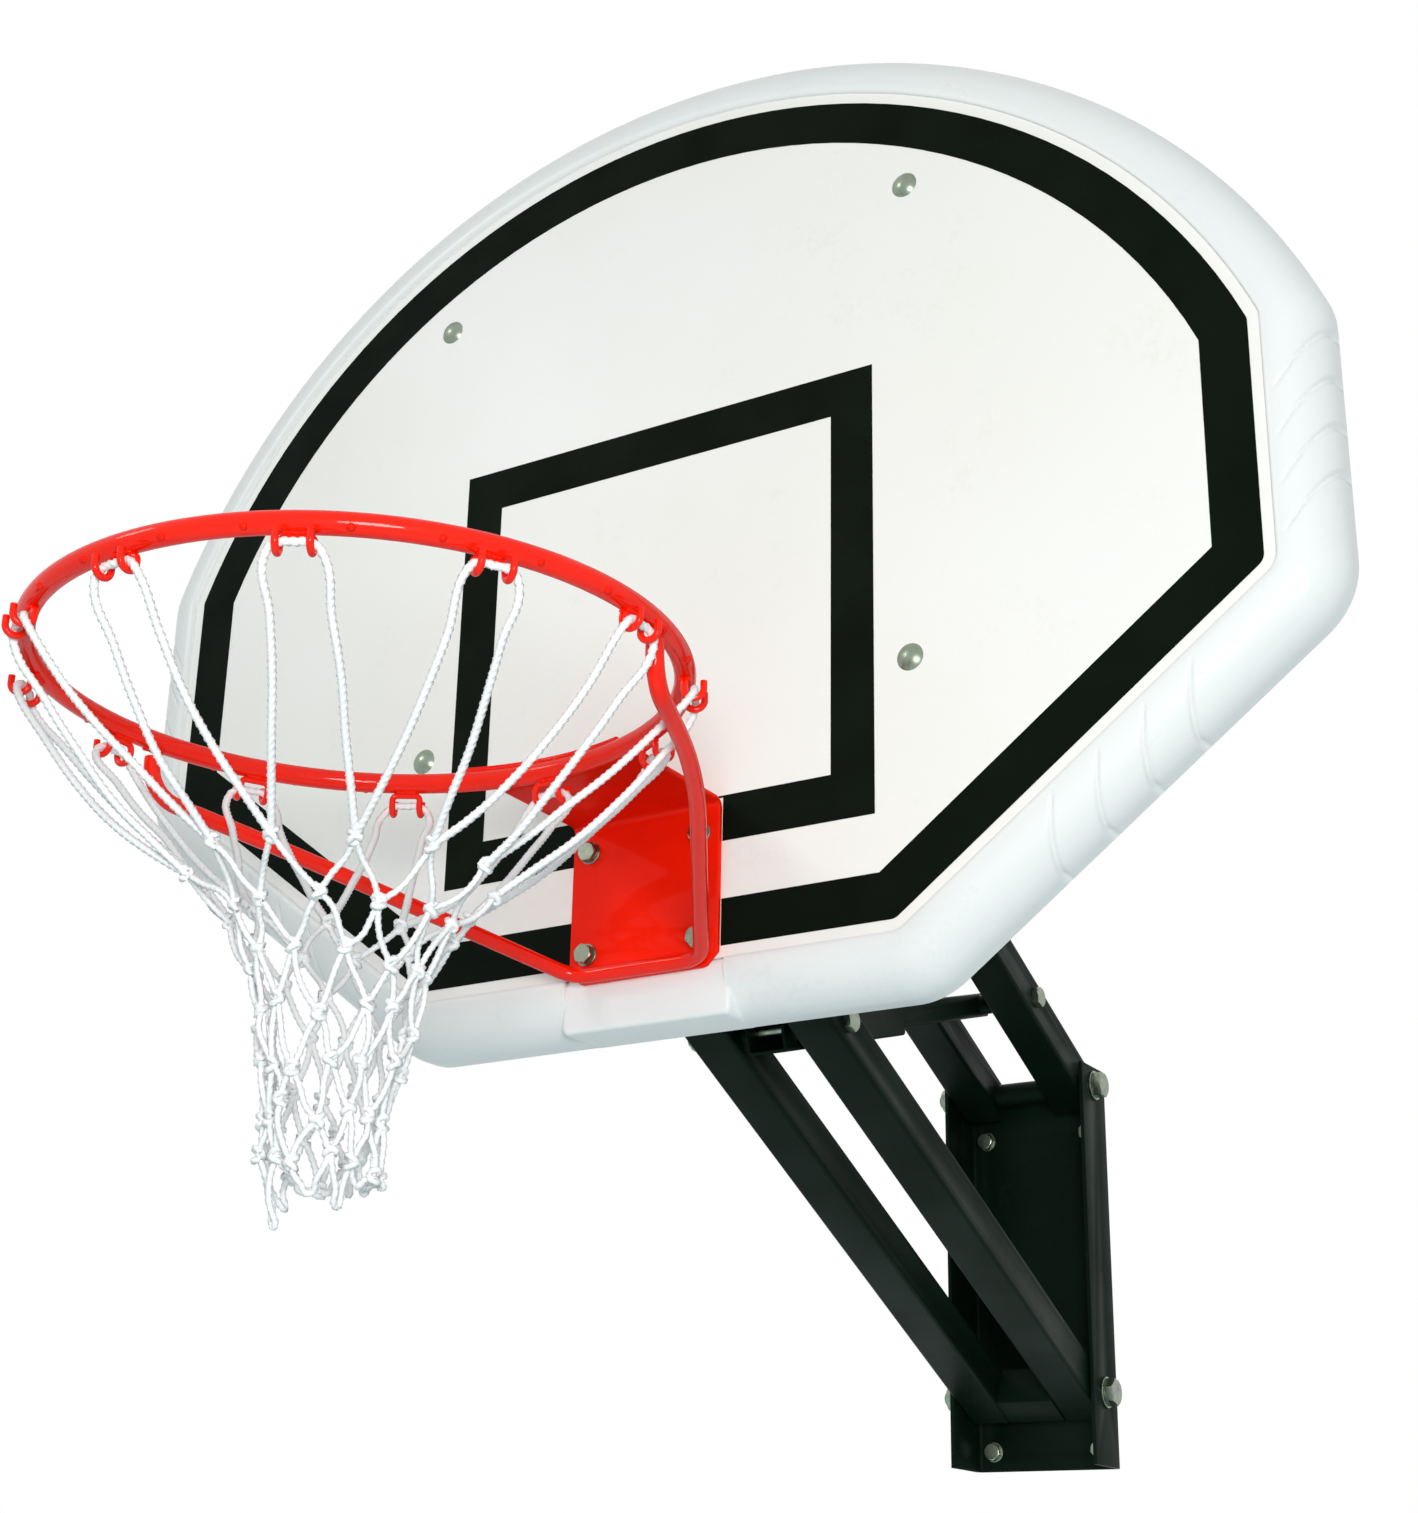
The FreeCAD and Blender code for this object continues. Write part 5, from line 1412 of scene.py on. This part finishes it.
def weld_paths():
    """Paths of the welds between ring, shelf, plate, brace and hooks."""
    spread = math.asin(PLATE_HALF_WIDTH / RING_RADIUS)
    paths = []
    for rise, reach, share in SHELF_WELDS:
        centre = RING_CENTRE + Vector((0, 0, ROD_RADIUS + rise))
        half = spread * share
        ends = (math.pi / 2 - half, math.pi / 2 + half)
        paths.append(circle_path(centre, RING_RADIUS + reach, *ends, SHELF_WELD_STEPS))
    for side in (-1, 1):
        foot = BOARD + Vector((side * FOOT_WELD_START, -PLATE_THICKNESS, BRACE_FOOT.z + FOOT_WELD_RISE))
        paths.append([foot, foot - Vector((side * FOOT_WELD_LENGTH, 0, 0))])
        ray = ray_at(BRACE_RING_ANGLE) * Vector((side, 1, 1))
        along = Vector((-ray.y, ray.x, 0))
        end = RING_CENTRE + ray * RING_RADIUS - Vector((0, 0, ROD_RADIUS - BRACE_WELD_SINK))
        ring = []
        for part in range(BRACE_WELD_STEPS + 1):
            angle = 2 * math.pi * part / BRACE_WELD_STEPS
            spot = end + ray * (BRACE_WELD_REACH * math.cos(angle))
            spot += along * (BRACE_WELD_WIDTH * math.sin(angle))
            ring.append(spot + Vector((0, 0, BRACE_WELD_RISE * math.cos(angle) ** 2)))
        paths.append(ring)
    base = RING_CENTRE - Vector((0, 0, ROD_RADIUS + HOOK_WELD_DROP))
    half = HOOK_HALF_SPAN / RING_RADIUS * HOOK_WELD_SHARE
    for index in range(HOOK_COUNT):
        turn = hook_turn(index)
        for edge in (-1, 1):
            radius = RING_RADIUS + edge * HOOK_WELD_OFFSET
            paths.append(circle_path(base, radius, turn - half, turn + half, HOOK_WELD_STEPS))
    return paths


def spot_places():
    """Places of the small weld spots on the ring beside each hook."""
    places = []
    for index in range(HOOK_COUNT):
        for edge in (-1, 1):
            ray = ray_at(hook_turn(index) + edge * SPOT_SPAN / RING_RADIUS)
            skin = ray * math.cos(SPOT_TILT) - Vector((0, 0, math.sin(SPOT_TILT)))
            point = RING_CENTRE + ray * RING_RADIUS + skin * ROD_RADIUS
            size = SPOT_RADIUS * (1 + SPOT_PLAY * wobble(index + edge * 0.3))
            turn = skin.to_track_quat("Z", "Y").to_matrix()
            places.append((point, turn, (size, size, size * SPOT_HEIGHT_SHARE)))
    return places


def weld_piece():
    """All the welds, as small balls along their paths and beside the hooks."""
    places = []
    for number, path in enumerate(weld_paths()):
        places += bead_places(path, sizes().weld_radius, number * 1.7)
    return repeated("welds", bead_shape(), places + spot_places(), finish("goal_powder"))


# Knob
def knob_mesh():
    """Lobed knob on its screw, along the knob's own axis in the frame."""
    low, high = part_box("clamp_knob")
    middle = (low + high) / 2
    reach = (high.z - low.z) / 2
    end = high.x - low.x

    def lobed(scale):
        wave = KNOB_LOBE_SHARE
        return lambda turn: scale * reach * (1 - wave + wave * math.cos(KNOB_LOBES * turn))

    rings = []
    for scale, level in KNOB_PROFILE:
        rings.append((lobed(scale) if scale > KNOB_LOBED_FROM else scale * reach, level))
    screw = thread_rings(KNOB_SCREW * SHANK_FIT, KNOB_HEIGHT + KNOB_SCREW_NECK, end)
    rings += [(KNOB_SCREW, KNOB_HEIGHT), *screw, (KNOB_SCREW_TIP, end)]
    mesh = lathe("lobed_knob", rings, KNOB_SEGMENTS, 45)
    turn = Matrix.Rotation(math.pi / 2, 4, "Y")
    mesh.transform(Matrix.Translation((low.x, middle.y, middle.z)) @ turn)
    return mesh


# Stage
def shown_rays(tree):
    """One where the camera, a gloss or a see-through piece shows what is behind, and else zero."""
    shown = add_node(tree, "ShaderNodeLightPath", "Is Camera Ray")
    path = shown.node
    for ray in ("Is Glossy Ray", "Is Transmission Ray"):
        shown = maths(tree, "MAXIMUM", shown, path.outputs[ray])
    return shown


def add_floor(scene):
    """Pale floor that keeps the object's shadow."""
    half = FLOOR_HALF_SPAN
    middle = Vector((0, FLOOR_MIDDLE, FLOOR_LEVEL))
    corners = [middle + Vector((x, y, 0)) for x, y in upright(half, -half, half)]
    ground = mesh_from("floor", corners, [(0, 1, 2, 3)])
    floor = bpy.data.objects.new("floor", ground)
    scene.collection.objects.link(floor)
    paint = finish("floor_paint")
    tree = paint.node_tree
    glow = maths(tree, "MULTIPLY", shown_rays(tree), FLOOR_GLOW)
    tree.links.new(glow, tree.nodes["Principled BSDF"].inputs["Emission Strength"])
    ground.materials.append(paint)


def add_sky(scene):
    """White background that lights the object softly."""
    world = bpy.data.worlds.new("studio")
    world.use_nodes = True
    scene.world = world
    tree = world.node_tree
    shown = shown_rays(tree)
    sky = tree.nodes["Background"]
    tree.links.new(colour_mix(tree, shown, SKY_TINT, WHITE), sky.inputs["Color"])
    tree.links.new(mapped(tree, shown, to_span=(SKY_LEVEL, 1.0)), sky.inputs["Strength"])


def add_lamp(scene, name, place, aim, size, power, colour):
    """Round soft lamp turned to its aim."""
    data = bpy.data.lights.new(name, "AREA")
    data.shape = "DISK"
    data.size = size
    data.energy = power
    data.color = colour
    lamp = bpy.data.objects.new(name, data)
    lamp.location = place
    lamp.rotation_euler = (Vector(aim) - Vector(place)).to_track_quat("-Z", "Y").to_euler()
    scene.collection.objects.link(lamp)


def add_camera(scene):
    """Camera at the viewing angle of the main picture."""
    data = bpy.data.cameras.new("photo_view")
    data.lens = CAMERA_LENS
    data.sensor_width = CAMERA_SENSOR
    camera = bpy.data.objects.new("photo_view", data)
    right = Vector(CAMERA_RIGHT).normalized()
    ahead = Vector(CAMERA_AHEAD).normalized()
    turn = Matrix((right, right.cross(ahead), -ahead)).transposed()
    camera.matrix_world = Matrix.Translation(CAMERA_PLACE) @ turn.to_4x4()
    scene.collection.objects.link(camera)
    scene.camera = camera


class BACKBOARD_OT_stage(bpy.types.Operator):
    """Add the floor, the lights, the background and the camera"""

    bl_idname = "backboard.stage"
    bl_label = "Stage"

    def execute(self, context):
        scene = context.scene
        scene.view_settings.view_transform = "Standard"
        add_floor(scene)
        add_sky(scene)
        for name, settings in LAMPS.items():
            add_lamp(scene, name, *settings)
        add_camera(scene)
        return {"FINISHED"}


class BACKBOARD_OT_border(bpy.types.Operator):
    """Make the moulded border with its grooves and pad"""

    bl_idname = "backboard.border"
    bl_label = "Moulded border"

    def execute(self, context):
        mesh = joined("moulded_border", [border_mesh(), pad_mesh(), *rib_meshes()])
        smooth(mesh, 40)
        piece = new_piece("moulded_border", mesh, finish("border_plastic"))
        mounted(piece, "board", "board_white", "board_frame")
        return {"FINISHED"}


class BACKBOARD_OT_panel(bpy.types.Operator):
    """Finish the panel and its lines"""

    bl_idname = "backboard.panel"
    bl_label = "Panel and lines"

    def execute(self, context):
        paint_node("board_panel", finish("panel_plastic"))
        for node in ("boundary_line", "target_square"):
            paint_node(node, finish("line_paint"))
        return {"FINISHED"}


class BACKBOARD_OT_goal(bpy.types.Operator):
    """Make the goal plate, ring, brace rod and their welds"""

    bl_idname = "backboard.goal"
    bl_label = "Goal"

    def execute(self, context):
        plate = new_piece("goal_plate_bent", plate_mesh(), finish("goal_powder"))
        bevelled(plate, sizes().plate_edge, 3, 45)
        smooth(plate.data, 40)
        mounted(plate, "board", "goal_orange", "goal_plate")
        ring = new_piece("ring_bar", ring_mesh(), finish("bar_gloss"))
        mounted(ring, "board", "goal_orange", "hoop_ring")
        brace = rod("brace_rod", brace_line(), BRACE_RADIUS, BRACE_SIDES)
        mounted(brace, "board", "goal_orange", "hoop_brace")
        mounted(weld_piece(), "board", "goal_orange")
        return {"FINISHED"}


class BACKBOARD_OT_hooks(bpy.types.Operator):
    """Make the net hooks round the ring"""

    bl_idname = "backboard.hooks"
    bl_label = "Net hooks"

    def execute(self, context):
        hooks = rod("wire_hooks", hook_line(), HOOK_WIRE, HOOK_SIDES, HOOK_COUNT, RING_CENTRE)
        mounted(hooks, "board", "goal_orange", "net_hooks")
        return {"FINISHED"}


class BACKBOARD_OT_net(bpy.types.Operator):
    """Make the twisted cord net"""

    bl_idname = "backboard.net"
    bl_label = "Net"

    def execute(self, context):
        mounted(net_piece(), "board", "net_white", "net")
        return {"FINISHED"}


class BACKBOARD_OT_fasteners(bpy.types.Operator):
    """Make the bolts, nuts and washers"""

    bl_idname = "backboard.fasteners"
    bl_label = "Fasteners"

    def execute(self, context):
        for node, kind, axis in FASTENERS:
            fastener_piece(node, kind, axis)
        return {"FINISHED"}


class BACKBOARD_OT_steel(bpy.types.Operator):
    """Round the edges of the arms, channels, rails and tubes and paint them"""

    bl_idname = "backboard.steel"
    bl_label = "Steelwork"

    def execute(self, context):
        for node in STEEL_NODES:
            work = bmesh.new()
            work.from_mesh(NODES[node].data)
            bmesh.ops.remove_doubles(work, verts=work.verts, dist=MERGE_DISTANCE)
            bmesh.ops.dissolve_limit(
                work, angle_limit=math.radians(1), verts=work.verts, edges=work.edges,
                use_dissolve_boundaries=False,
            )
            mesh = bpy.data.meshes.new(node + "_painted")
            work.to_mesh(mesh)
            work.free()
            piece = new_piece(node + "_painted", mesh, finish("steel_paint"))
            bevelled(piece, sizes().edge_round, 2, 50)
            smooth(piece.data, 35)
            mounted(piece, BODY_OF[node], "bracket_black", node)
        for node in SPACER_NODES:
            paint_node(node, finish("steel_paint"))
        for node in PLASTIC_NODES:
            paint_node(node, finish("bush_plastic"))
        return {"FINISHED"}


class BACKBOARD_OT_knob(bpy.types.Operator):
    """Make the clamp knob with its screw"""

    bl_idname = "backboard.knob"
    bl_label = "Clamp knob"

    def execute(self, context):
        piece = new_piece("lobed_knob", knob_mesh(), finish("knob_plastic"))
        mounted(piece, "clamp_knob", "knob_black", "clamp_knob")
        return {"FINISHED"}


OPERATORS = (
    BACKBOARD_OT_stage, BACKBOARD_OT_border, BACKBOARD_OT_panel, BACKBOARD_OT_goal, BACKBOARD_OT_hooks,
    BACKBOARD_OT_net, BACKBOARD_OT_fasteners, BACKBOARD_OT_steel, BACKBOARD_OT_knob,
)


class BACKBOARD_PT_panel(bpy.types.Panel):
    """Settings and steps of the backboard"""

    bl_idname = "BACKBOARD_PT_panel"
    bl_label = "Backboard"
    bl_space_type = "VIEW_3D"
    bl_region_type = "UI"
    bl_category = "Backboard"

    def draw(self, context):
        for group in (context.scene.backboard_sizes, context.scene.backboard_colours):
            for key in group.bl_rna.properties.keys():
                if key not in {"rna_type", "name"}:
                    self.layout.prop(group, key)
        for operator in OPERATORS:
            self.layout.operator(operator.bl_idname)


CLASSES = (BACKBOARD_PG_sizes, BACKBOARD_PG_colours, *OPERATORS, BACKBOARD_PT_panel)


def register():
    """Register the classes and the scene's settings."""
    for item in CLASSES:
        bpy.utils.register_class(item)
    bpy.types.Scene.backboard_sizes = bpy.props.PointerProperty(type=BACKBOARD_PG_sizes)
    bpy.types.Scene.backboard_colours = bpy.props.PointerProperty(type=BACKBOARD_PG_colours)


def unregister():
    """Remove the settings and the classes."""
    del bpy.types.Scene.backboard_colours
    del bpy.types.Scene.backboard_sizes
    for item in reversed(CLASSES):
        bpy.utils.unregister_class(item)


def main():
    """Make every piece in order."""
    register()
    bpy.ops.backboard.stage()
    bpy.ops.backboard.border()
    bpy.ops.backboard.panel()
    bpy.ops.backboard.goal()
    bpy.ops.backboard.hooks()
    bpy.ops.backboard.net()
    bpy.ops.backboard.fasteners()
    bpy.ops.backboard.steel()
    bpy.ops.backboard.knob()


if __name__ == "__main__":
    main()
